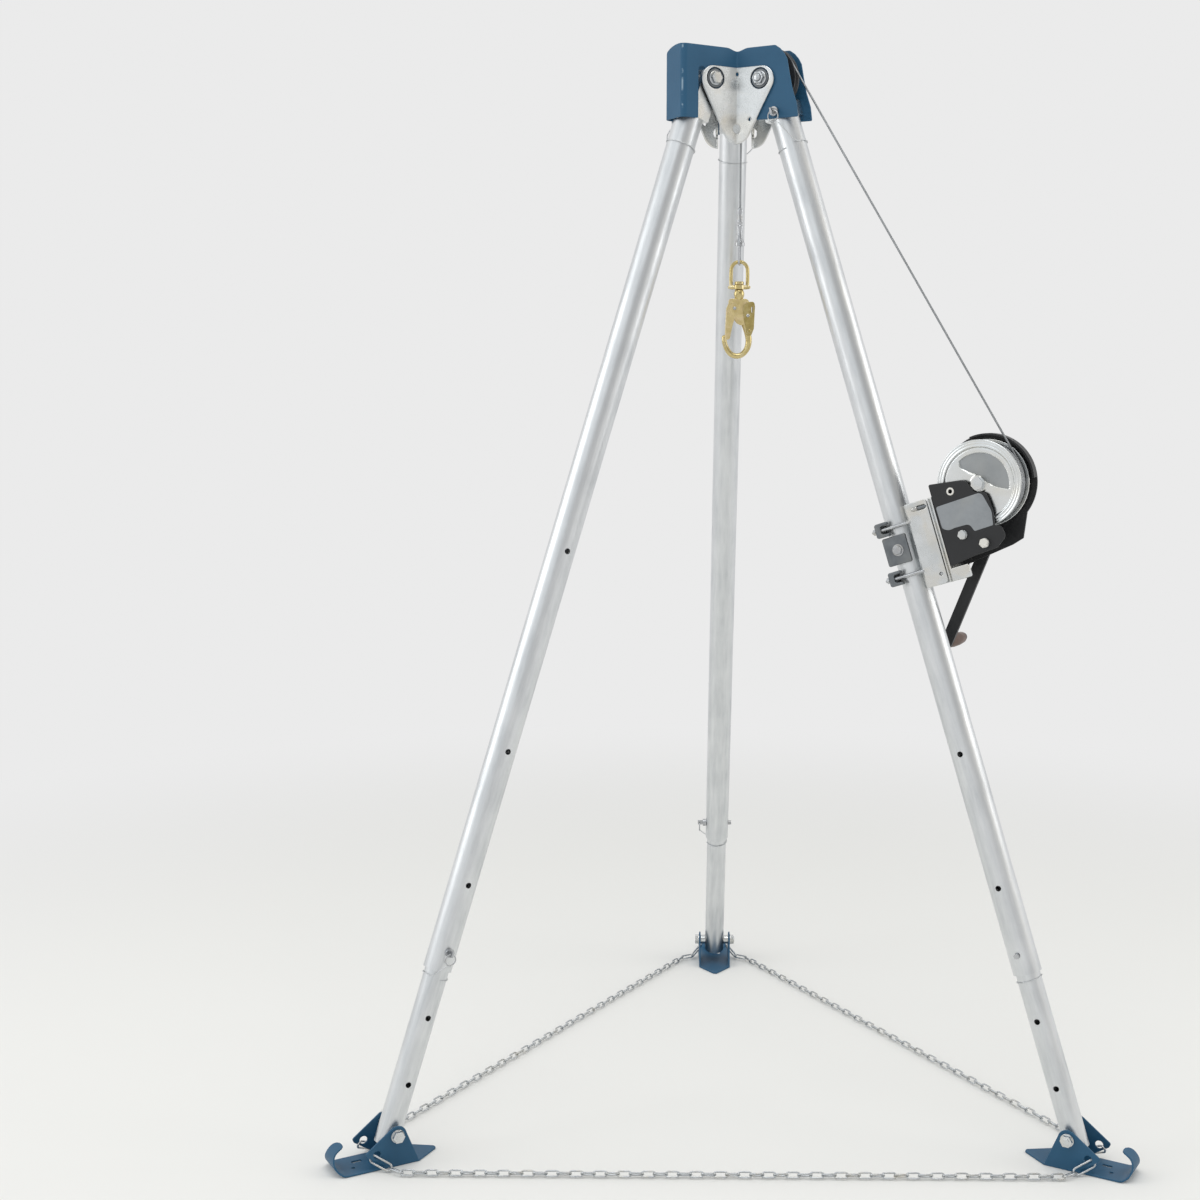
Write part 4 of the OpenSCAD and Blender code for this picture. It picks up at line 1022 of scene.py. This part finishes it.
def makeFrontPlate():
    v = frontPlate
    place = legFrame["right"]
    holes = [roundHole(*v["ring"], 5), roundHole(*v["bolt"], 5), roundHole(*v["cap"], 5)]
    sheet = flatPlate("winchFrontPlate", [rounded(v["edge"])] + holes, v["front"], v["back"], 1.1, place)
    boss = turned("crankBoss", [(0, -39), (17, -39), (17, -30.8), (16, -30), (0, -30)],
                  shifted(place, v["boss"]), 40)
    settle(joined("winchFrontPlate", [sheet, boss]), "leg_right", "blackPowderCoat", "black_paint",
           "winch_front_plate")
    blank = flatPlate("bareDataPlate", [rounded(v["blank"])], v["front"] - 0.7, v["front"] + 0.05, 0.25, place)
    settle(blank, "leg_right", "brushedFoil", "plain_steel")
    ring = turned("plateRing", [(4.6, -41.6), (4.6, -43.2), (5.2, -43.8), (7.6, -43.8), (8.4, -43.2), (8.4, -41.6)],
                  shifted(place, v["ring"]), 32)
    settle(ring, "leg_right", "whiteNylon", "zinc_plate")
    cap = flatPlate("boltCap", [sixSided(v["capRadius"], 1.5)], -53, -45, 2.2, shifted(place, v["cap"]))
    settle(cap, "leg_right", "whiteNylon", "zinc_plate")
    print("front plate set")


makeFrontPlate()

# hinge bolts: flanged heads and nuts on dull washers, one through each arm; the washers' dark phosphate is partly
# their own finish, partly painted shade in the anchor plates' recesses round the bolts
hingeBolt = {"shank": 8, "flats": 24, "head": (42, 53), "nut": (-55, -42), "end": -58, "washer": 20, "wall": 38}


def makeHingeBolts():
    v = hingeBolt
    bolts, nuts, washers = [], [], []
    shank, rim = v["shank"], v["washer"]
    bore = shank + 0.1
    for side in sides:
        place = armFrame[side] @ Matrix.Translation((tripod["hingeRadius"], 0, hingeHeight))
        low, high = v["head"]
        profile = [(0, v["end"]), (shank - 1.2, v["end"]), (shank, v["end"] + 1.2), (shank, low + 1), (15.4, low),
                   (15.6, low + 1.2), (14, low + 3), (0, low + 3.4)]
        bolts.append(turned("boltShank", profile, place, 40))
        bolts.append(flatPlate("boltHead", [hexagon(v["flats"], 1.2)], low + 2.4, high, 2.0, place))
        low, high = v["nut"]
        body = [hexagon(v["flats"], 1.2), roundHole(0, 0, bore)]
        nuts.append(flatPlate("nutBody", body, low, high - 2.4, 1.6, place))
        profile = [(bore, high), (15.6, high), (15.6, high - 1.4), (14, high - 3), (bore, high - 3)]
        nuts.append(turned("nutFlange", profile, place, 40))
        for a in (v["wall"], -v["wall"] - 4):
            profile = [(bore, a), (rim - 0.6, a), (rim, a + 0.6), (rim, a + 3.4), (rim - 0.6, a + 4), (bore, a + 4)]
            washers.append(turned("washer", profile, place, 48))
    settle(joined("hingeBolts", bolts), "head", "brightChainSteel", "zinc_plate", "hinge_bolts")
    settle(joined("hingeNuts", nuts), "head", "brightChainSteel", "zinc_plate", "hinge_nuts")
    # the washers are dark partly as painted shade in the recesses round the bolts
    settle(joined("hingeWashers", washers), "head", "phosphatedSteel", "zinc_plate", "hinge_nuts")
    print("hinge bolts set")


makeHingeBolts()

# winch bracket: a channel bent from strip, with a cross pin in a slot near its top and a screw hole near its foot
bracketShape = {
    "plan": [(88.5, -39.5), (34.25, -39.5, 9.5), (34.25, 39.5, 9.5), (88.5, 39.5)],
    "sheet": 5, "top": -983, "low": -1170, "pinAt": -998, "screw": (76, -1148),
}
# winch base: two plates with a dark joint between them, and the end block under the black plate
baseShape = {"plates": [(91.0, 94.6, 43), (94.4, 98.2, 37), (98.0, 101.8, 43)],
             "block": [(101, -1143, 3), (141, -1143, 3), (141, -1171, 4), (101, -1171, 4)]}


def makeBracket():
    v = bracketShape
    place = legFrame["right"]
    line = rounded(v["plan"], closed=False, steps=7)
    long = routeLength(line)
    outer = v["plan"][0][0]
    outline = rounded([(0, v["top"], 6), (long, v["top"], 6), (long, v["low"], 11), (0, v["low"], 11)])
    slots = [box(x - 11, x + 11, v["pinAt"] + 5, v["pinAt"] - 5, 4.5) for x in (outer - 73, long - outer + 73)]
    screws = [roundHole(x, v["screw"][1], 4) for x in (outer - v["screw"][0], long - outer + v["screw"][0])]
    blank = flatPlate("winchBracket", [outline, *slots, *screws], -v["sheet"] / 2, v["sheet"] / 2, 1.4, Matrix())
    bendAlong(blank, line)
    blank.data.transform(place)
    settle(blank, "leg_right", "clearZincPlate", "zinc_plate", "winch_bracket")
    pins = [roundBar("bracketPin", [Vector((w, t, v["pinAt"])) for w in (55, 57, 84)], [4.4, 4.4, 4.4], place)
            for t in (-38.6, 38.6)]
    settle(joined("bracketPin", pins), "leg_right", "phosphatedSteel", "zinc_plate")
    tips = [roundBar("pinTip", [Vector((w, k * 42.2, v["pinAt"])) for w in (54, 57, 61)], [4.6, 5.2, 4.6], place)
            for k in (-1, 1)]
    tips += [turned("screwHead", [(0, -39.6), (2.2, -39.8), (3.2, -39.2), (3.6, -38), (3.6, -36), (0, -36)],
                    shifted(place, v["screw"]), 20)]
    settle(joined("bracketTips", tips), "leg_right", "turnedSteel", "plain_steel")
    # a plate's thickness stands along the leg's outward side here
    across = place @ turn(90, "Z")
    plates = [flatPlate("basePlate", [box(-t, t, v["top"] - 1, v["low"] - 1, 3)], -high, -low, 0.7, across)
              for low, high, t in baseShape["plates"]]
    plates.append(flatPlate("endBlock", [rounded(baseShape["block"])], -43, -33, 1.2, place))
    settle(joined("winchBase", plates), "leg_right", "clearZincPlate", "zinc_plate", "winch_base")
    print("bracket bent")


makeBracket()

# leg clamp: two saddles on the far side of the tube, drawn up by rods, and a square plate with its bolt in front
clampShape = {
    "rods": (-1021, -1131), "rodAt": 40, "rod": 4, "reach": (-49, 38), "nut": 13,
    "saddle": [(-42, 16, 5), (-12, 16, 3), (-12, 10, 2), (-29, 8.5, 4), (-29, -8.5, 4), (-12, -10, 2),
               (-12, -16, 3), (-42, -16, 5)],
    "plate": (-37, 19, -1040, -1103, 4), "bar": (-46, 46, 11, -11, 3), "bolt": (-6, -1072), "boltFlats": 19,
}


def makeClamp():
    v = clampShape
    place = legFrame["right"]
    across = place @ turn(90, "Z")
    dull, bright = [], []
    for z in v["rods"]:
        level = Matrix.Translation((0, 0, z))
        for low in (-47, 33.5):
            dull.append(flatPlate("saddleEnd", [rounded(v["saddle"])], low, low + 13.5, 1.4, place @ level))
        dull.append(flatPlate("saddleBar", [box(*v["bar"])], 32.4, 41.5, 1.4, across @ level))
        for t in (-v["rodAt"], v["rodAt"]):
            route = [Vector((w, t, z)) for w in (v["reach"][0], -20, 10, v["reach"][1])]
            bright.append(roundBar("clampRod", route, [v["rod"]] * 4, place))
            bright.append(flatPlate("rodNut", [hexagon(v["nut"], 0.8)], 42, 48, 1.0,
                                    shifted(across @ level, (t, 0))))
    dull.append(flatPlate("clampPlate", [box(*v["plate"])], -37.5, -32.2, 1.2, place))
    at = shifted(place, v["bolt"])
    bright.append(flatPlate("clampBolt", [hexagon(v["boltFlats"], 1.0)], -45.5, -37, 1.8, at))
    bright.append(turned("clampWasher", [(0, -39), (12.6, -39), (13.2, -38.4), (13.2, -37), (0, -37)], at, 32))
    settle(joined("legClamp", dull), "leg_right", "phosphatedSteel", "zinc_plate", "leg_clamp")
    settle(joined("clampBolts", bright), "leg_right", "turnedSteel", "plain_steel", "clamp_bolts")
    print("clamp drawn up")


makeClamp()

# drum: pressed front cheek with three ridges and a shallow half-moon, barrel and back cheek
drumShape = {
    "at": (208, -987), "moonRadius": 66, "moon": (-27, 121), "moonFloor": -25.9,
    "moonEdge": [(-31, 44, 6), (-8, 26, 20), (9, 14, 8), (15, 1, 8), (36, -19, 30)],
    "cheek": [(8.1, -33), (17, -33), (18, -32.2), (18.5, -30.5), (22, -29.8), (60, -29.3), (73.2, -29.6),
              (74.2, -28.6), (75.6, -28.4), (76.6, -29.8), (77.6, -31.4), (79, -32.3), (80.6, -32.4), (82, -31.6),
              (83.2, -30.9), (84.4, -31.6), (86, -32.2), (87.3, -31.6), (88.4, -30.9), (89.6, -31.6), (91, -32.3),
              (92.4, -31.9), (93, -30.8), (92.8, -29), (91.8, -28), (88, -27.7), (77, -27.3), (76, -24.6),
              (51, -24), (50, -23), (50, 21), (51, 22), (91.8, 22), (92.8, 22.6), (93, 24), (92.8, 25.4),
              (91.8, 26), (8.1, 26)],
}


def makeDrum():
    v = drumShape
    place = shifted(legFrame["right"], v["at"])
    drum = turned("lineDrum", v["cheek"], place, 96)
    a, b = v["moon"]
    moon = [(v["moonRadius"] * math.cos(math.radians(t)), v["moonRadius"] * math.sin(math.radians(t)))
            for t in range(a, b, 4)]
    moon += v["moonEdge"]
    shape = rounded(moon)
    cutter = flatPlate("moonCutter", [shape], -40, v["moonFloor"], 0.05, place)
    makeActive(drum)
    with editing(drum) as bm:
        bmesh.ops.recalc_face_normals(bm, faces=bm.faces)
    with editing(cutter) as bm:
        bmesh.ops.remove_doubles(bm, verts=bm.verts, dist=1e-6)
        bmesh.ops.recalc_face_normals(bm, faces=bm.faces)
    cut = drum.modifiers.new("halfMoon", "BOOLEAN")
    cut.operation = "DIFFERENCE"
    cut.solver = "EXACT"
    cut.object = cutter
    bpy.ops.object.modifier_apply(modifier=cut.name)
    bpy.data.objects.remove(cutter)
    settle(drum, "drum", "spunZincPlate", "zinc_plate", "drum")
    inset = [Vector(p) * 0.985 + Vector((0.25, 0.35)) for p in shape]
    foil = flatPlate("bareDrumPlate", [inset], v["moonFloor"] - 0.5, v["moonFloor"] + 0.3, 0.2, place)
    settle(foil, "drum", "brushedFoil", "plain_steel")
    print("drum turned")


makeDrum()

# hook: forged bow of round bar, two cheeks, a folded gate on the left and a lock lever on the right
hookShape = {
    "cheek": [(-25, -466, 7), (20, -467, 9), (26, -482, 8), (23, -519, 7), (7, -526, 8), (-5, -521, 10),
              (-20, -498, 9)],
    "bow": [(7, -500), (12, -520), (20, -542), (23, -560), (19.5, -577), (9, -590), (-4, -594), (-18, -589),
            (-27.5, -576), (-32, -562), (-33, -552)],
    "bowRadius": [6.5, 6.8, 7.2, 7.4, 7.2, 6.6, 6.2, 6.2, 6.0, 5.8, 5.4],
    "gate": [(-23, -474, 6), (-6, -476, 8), (-2, -490, 8), (-13, -521, 6), (-20.5, -556, 3), (-31, -559, 3),
             (-28.5, -488, 6)],
    "spine": [(-31.6, -558, 1), (-28.8, -558, 1), (-26.3, -487, 1), (-29.1, -487, 1)],
    "lever": [(9, -481, 4), (19, -474, 6), (34, -473, 6), (36, -484, 8), (34, -533, 10), (28, -549, 5),
              (17, -549, 4), (13, -520, 10), (8, -494, 6)],
    "leverSlot": (28, 32.8, -484, -498, 2.4),
    "pad": [(30.5, -478, 2), (35.2, -486, 2), (33.2, -530, 2), (29.5, -530, 2)],
    "bridge": [(-22, -467, 4), (18, -468, 4), (18, -479, 2), (-22, -479, 2)],
    "dome": [(0, -14.4), (1.6, -14.2), (3, -13.6), (4, -12.6), (4.1, -11.6), (4.1, 11.6), (4, 12.6), (3, 13.6),
             (1.6, 14.2), (0, 14.4)],
    "collar": [(8.3, -446), (11.4, -446), (12.2, -445), (12.2, -437), (11.4, -436), (8.3, -436)],
    "rivets": {"gate": (-10, -488), "lock": (20, -504), "low": (23.5, -538)},
    "swivel": [(0, -474), (5, -472.5), (9, -467), (11.6, -460), (11.9, -454), (10, -448.6), (8.5, -446.6),
               (8, -446), (8, -436), (10, -435.4), (10.4, -434), (10.4, -429.6), (9.2, -428.4), (0, -428)],
}


def makeHook():
    v = hookShape
    hang = armFrame["right"] @ Matrix.Translation((14, 0, hingeHeight)) @ turn(-330, "Z")
    upright = hang @ turn(90, "X")
    plates = [flatPlate("hookCheek", [rounded(v["cheek"])], y, y + 3, 0.9, hang) for y in (-7, 4)]
    top = flatPlate("hookBridge", [rounded(v["bridge"])], -4.5, 4.5, 0.5, hang)
    route = smoothRoute([Vector((x, 0, z)) for x, z in v["bow"]], 2.5)
    radii = []
    for i in range(len(route)):
        at = i / (len(route) - 1) * (len(v["bowRadius"]) - 1)
        k = min(int(at), len(v["bowRadius"]) - 2)
        radii.append(v["bowRadius"][k] + (v["bowRadius"][k + 1] - v["bowRadius"][k]) * (at - k))
    bow = roundBar("hookBow", route, radii, hang)
    # the profile stands on the hook's own axis
    swivel = turned("hookSwivel", v["swivel"], upright, 32)
    settle(joined("hookBody", [bow, swivel]), "hook", "yellowZincChromate", "yellow_zinc", "hook_body")
    # cheeks and gate in the paler copy of the plating, the lock lever in the darker one: painted light and shade that
    # set the parts apart, besides the plating's own tones
    settle(joined("hookCheeks", [*plates, top]), "hook", "litPaleYellowZinc", "yellow_zinc", "hook_body")
    folds = [flatPlate("gateSide", [rounded(v["gate"])], y, y + 1.4, 0.4, hang) for y in (-9.5, 8.1)]
    spine = flatPlate("gateSpine", [rounded(v["spine"], steps=3)], -9.4, 9.4, 0.7, hang)
    settle(joined("hookGate", folds + [spine]), "gate", "litPaleYellowZinc", "yellow_zinc", "hook_gate")
    levers = [flatPlate("leverSide", [rounded(v["lever"]), box(*v["leverSlot"], steps=4)], y, y + 1.4, 0.4, hang)
              for y in (-11.9, 10.5)]
    pad = flatPlate("leverPad", [rounded(v["pad"])], -11.8, 11.8, 0.7, hang)
    low = turned("leverRivet", v["dome"], shifted(hang, v["rivets"]["low"]), 20)
    settle(joined("hookLock", levers + [pad, low]), "hook_lock", "shadedDullYellowZinc", "yellow_zinc", "hook_lock")
    heads = [turned("hookRivet", v["dome"], shifted(hang, v["rivets"][k]), 20) for k in ("gate", "lock")]
    settle(joined("hookRivets", heads), "hook", "turnedSteel", "plain_steel", "hook_rivets")
    oval = [Vector((-18.4, 0, -441)), Vector((-18.7, 0, -425)), Vector((-18.6, 0, -404))]
    oval += [Vector((-18.4 * math.cos(math.radians(a)), 0, -403.7 + 19 * math.sin(math.radians(a))))
             for a in range(20, 161, 20)]
    oval += [Vector((18.6, 0, -404)), Vector((18.7, 0, -425)), Vector((18.4, 0, -441))]
    link = smoothRoute(oval, 2.2)
    ring = roundBar("eyeLink", link, [4.0] * len(link), hang)
    across = [Vector((x, 0, -441)) for x in (-22, -16, -8, 0, 8, 16, 22)]
    bar = roundBar("eyeBar", across, [4.0, 4.8, 5.0, 5.0, 5.0, 4.8, 4.0], hang)
    collar = turned("eyeCollar", v["collar"], upright, 32)
    settle(joined("swivelEye", [ring, bar, collar]), "carriage", "yellowZincChromate", "yellow_zinc", "swivel_eye")
    print("hook forged")


makeHook()

# feet: two cheeks, a base with its tail, and a toe curled up from a tapering tongue
footShape = {
    "cheek": [(13.5, 17.2), (73, -27, 5), (69, -36, 5), (31, -62, 4), (31, -69, 3), (-50, -69, 3)],
    "base": [(198, 0), (197, 9), (192, 16), (184, 19.5), (168, 21, 30), (121, 44.9, 10), (-50, 44.9, 4),
             (-105, 5, 5), (-105, -5, 5), (-50, -44.9, 4), (121, -44.9, 10),
             (168, -21, 30), (184, -19.5), (192, -16), (197, -9)],
    "thick": 4, "curlFrom": 112, "curl": 27, "sweep": 190,
    "slot": (62, 86, -10.5, -19.5, 4.4), "hole": (91, 13, 4), "lobe": 22, "curlSteps": 20,
}


def makeFeet():
    v = footShape
    for side in sides:
        hand = -1 if side == "right" else 1
        place = footFrame[side] @ Matrix.Diagonal((1, hand, 1, 1))
        turns = [math.radians(a) for a in range(170, 49, -10)]
        lobe = [(v["lobe"] * math.cos(a), v["lobe"] * math.sin(a)) for a in turns]
        outline = rounded(lobe + v["cheek"])
        sheets = []
        for y in (-tripod["footHalf"], tripod["footHalf"] - v["thick"]):
            holes = [roundHole(0, 0, 8.3), roundHole(*chain["hole"], 9)]
            sheets.append(flatPlate("footCheek", [outline] + holes, y, y + v["thick"], 1.1, place))
        # the base is cut in plan, so its y is the foot's width until the toe curls up
        cuts = [box(*v["slot"], steps=5), roundHole(*v["hole"], 20)]
        base = flatPlate("footBase", [rounded(v["base"])] + cuts, -v["thick"] / 2, v["thick"] / 2, 1.1,
                         turn(-90, "X"))
        with editing(base) as bm:
            arc = math.radians(v["sweep"]) * v["curl"]
            for k in range(v["curlSteps"] + 1):
                cut = v["curlFrom"] + arc * k / v["curlSteps"]
                bmesh.ops.bisect_plane(bm, geom=bm.verts[:] + bm.edges[:] + bm.faces[:], plane_co=(cut, 0, 0),
                                       plane_no=(1, 0, 0), dist=1e-4)
            for vert in bm.verts:
                beyond = vert.co.x - v["curlFrom"]
                if beyond > 0:
                    a = beyond / v["curl"]
                    r = v["curl"] - vert.co.z
                    vert.co = (v["curlFrom"] + r * math.sin(a), vert.co.y, v["curl"] - r * math.cos(a))
                vert.co.z += v["thick"] / 2 - tripod["pivotHeight"]
        base.data.transform(place)
        settle(joined("footPlate_" + side, sheets + [base]), "foot_" + side, "powderCoatBlue", "blue_paint",
               "foot_" + side)
    print("feet bent")


makeFeet()


# a solid's copy with its edges broken, as a press, a saw or a file leaves them
def brokenEdges(node, name, width, look):
    source = nodes[node].data
    bm = bmesh.new()
    for v in source.vertices:
        bm.verts.new(v.co)
    bm.verts.ensure_lookup_table()
    for p in source.polygons:
        try:
            bm.faces.new([bm.verts[i] for i in p.vertices])
        except ValueError:
            pass
    bmesh.ops.remove_doubles(bm, verts=bm.verts, dist=2e-6)
    bmesh.ops.dissolve_limit(bm, angle_limit=math.radians(1.2), verts=bm.verts, edges=bm.edges)
    piece = meshPiece(name, bm)
    makeActive(piece)
    bevel = piece.modifiers.new("brokenEdge", "BEVEL")
    bevel.width = width / 1000
    bevel.segments = 2
    bevel.limit_method = "ANGLE"
    bevel.angle_limit = math.radians(30)
    bevel.use_clamp_overlap = True
    bevel.miter_outer = "MITER_ARC"
    bpy.ops.object.modifier_apply(modifier=bevel.name)
    shadeEvenly(piece)
    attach(piece, bodyOf[node])
    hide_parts(node)
    return dress(piece, look)


# width is in mm
edges = {
    "sheave": ("sheaveWheel", 0.8, "mouldedNylon", "black_nylon"),
    "winch_back_plate": ("winchBackPlate", 0.8, "blackPowderCoat", "black_paint"),
    "winch_bolts": ("winchBolts", 0.5, "clearZincPlate", "zinc_plate"),
    "drum_gear": ("drumGear", 0.3, "turnedSteel", "plain_steel"),
    "crank_shaft": ("crankShaft", 0.4, "turnedSteel", "plain_steel"),
    "crank_arm": ("crankArm", 0.9, "blackPowderCoat", "black_paint"),
    "crank_grip": ("crankGrip", 1.2, "brownPhenolic", "brown_grip"),
    "line_eye": ("lineEye", 0.3, "turnedSteel", "plain_steel"),
}
for side in sides:
    edges["leg_tube_" + side] = ("legTube_" + side, 0.5, "aluminium_" + side, "aluminium_tube")
    edges["inner_tube_" + side] = ("innerTube_" + side, 0.5, "aluminium_" + side, "aluminium_tube")
    edges["leg_fork_" + side] = ("legFork_" + side, 1.0, "clearZincPlate", "zinc_plate")
    edges["foot_bolt_" + side] = ("footBolt_" + side, 0.6, "clearZincPlate", "zinc_plate")
    edges["lock_pin_" + side] = ("lockPin_" + side, 0.5, "turnedSteel", "plain_steel")
    edges["stop_pin_" + side] = ("stopPin_" + side, 0.5, "turnedSteel", "plain_steel")
for node, (name, width, look, slot) in edges.items():
    brokenEdges(node, name, width, look)
print("edges broken on", len(edges), "pieces")

sleeves = nodes["hinge_sleeves"].data.materials
sleeves.clear()
sleeves.append(finish["turnedSteel"])

# plain pale floor and soft light: pale behind the object, a cool wall on the left, a warm one on the right,
# and a dimmer strip behind the camera, so the tubes keep a streak
studio = {
    "floor": "#e7e7e4", "seen": 0.83, "top": 0.74, "fade": (1.5, 4.2), "rise": (0.07, 0.30),
    "walls": [(0.0, (0.93, 0.97, 1.0)), (0.40, (0.93, 0.97, 1.0)), (0.53, (0.34, 0.34, 0.34)),
              (0.76, (0.30, 0.30, 0.30)), (0.93, (0.90, 0.85, 0.77)), (1.0, (0.92, 0.87, 0.79))],
    "lamps": [
        ("leftBox", (-4.2, -0.9, 2.7), 2.8, 40),
        ("rightBox", (4.2, -0.7, 2.7), 2.4, 30),
        ("topBox", (0.2, -1.6, 5.6), 3.0, 62),
    ],
}


def makeStudio():
    deselectAll()
    bpy.ops.mesh.primitive_circle_add(vertices=96, radius=60, fill_type="NGON", location=(0, 0, -0.0005))
    floor = bpy.context.object
    floor.name = "studioFloor"
    material, tree = newMaterial("paleFloor")
    place = addNode(tree, "TexCoord").outputs["Object"]
    grain = addNode(tree, "TexNoise", {"Scale": 3.0, "Detail": 3}, {"Vector": place})
    rough = addNode(tree, "MapRange", {"To Min": 0.7, "To Max": 0.8}, {"Value": grain})
    near = addNode(tree, "BsdfPrincipled", {"Base Color": linear(studio["floor"]), "IOR": 1.3},
                   {"Roughness": rough})
    # far out the floor runs into the background with no horizon
    far = addNode(tree, "Emission", {"Color": (1, 1, 1, 1), "Strength": studio["seen"]})
    reach = addNode(tree, "VectorMath", {"operation": "LENGTH"}, {0: place})
    fade = addNode(tree, "MapRange",
                   {"interpolation_type": "SMOOTHSTEP", "From Min": studio["fade"][0], "From Max": studio["fade"][1]},
                   {"Value": reach.outputs["Value"]})
    shader = addNode(tree, "MixShader", {}, {0: fade, 1: near, 2: far})
    addNode(tree, "OutputMaterial", {}, {"Surface": shader})
    floor.data.materials.append(material)
    world = bpy.data.worlds.new("studioWorld")
    scene.world = world
    world.use_nodes = True
    tree = world.node_tree
    tree.nodes.clear()
    place = addNode(tree, "TexCoord")
    parts = addNode(tree, "SeparateXYZ", {}, {0: place.outputs["Generated"]})
    across = addNode(tree, "MapRange", {"From Min": -1, "From Max": 1}, {"Value": parts})
    walls = addNode(tree, "ValToRGB", {}, {"Fac": across})
    ramp = walls.color_ramp
    while len(ramp.elements) < len(studio["walls"]):
        ramp.elements.new(0.5)
    for step, (at, tint) in zip(ramp.elements, studio["walls"]):
        step.position = at
        step.color = (*tint, 1)
    height = addNode(tree, "MapRange", {"From Min": 0.45, "From Max": 0.95}, {"Value": parts.outputs[2]})
    top = addNode(tree, "Mix", {"data_type": "RGBA", 7: (studio["top"],) * 3 + (1,)},
                  {0: height, 6: walls.outputs["Color"]})
    depth = addNode(tree, "MapRange", {"interpolation_type": "SMOOTHSTEP", "From Min": -0.2, "From Max": 0.25},
                    {"Value": parts.outputs[1]})
    # the walls start above the horizon, so from every side the floor runs into a plain pale ground
    low, high = studio["rise"]
    rise = addNode(tree, "MapRange", {"interpolation_type": "SMOOTHSTEP", "From Min": high, "From Max": low},
                   {"Value": parts.outputs[2]})
    plain = addNode(tree, "Math", {"operation": "MAXIMUM"}, {0: depth, 1: rise})
    shown = addNode(tree, "Mix", {"data_type": "RGBA", 7: (studio["seen"],) * 3 + (1,)},
                    {0: plain, 6: top.outputs[2]})
    sky = addNode(tree, "Background", {"Strength": 1}, {"Color": shown.outputs[2]})
    addNode(tree, "OutputWorld", {}, {"Surface": sky})
    aim = Vector((0, axisY / 1000, 1.2))
    for name, at, size, power in studio["lamps"]:
        data = bpy.data.lights.new(name, "AREA")
        data.shape = "SQUARE"
        data.size = size
        data.energy = power
        lamp = bpy.data.objects.new(name, data)
        scene.collection.objects.link(lamp)
        lamp.location = at
        lamp.rotation_euler = (aim - Vector(at)).to_track_quat("-Z", "Y").to_euler()
    print("studio lit")


makeStudio()
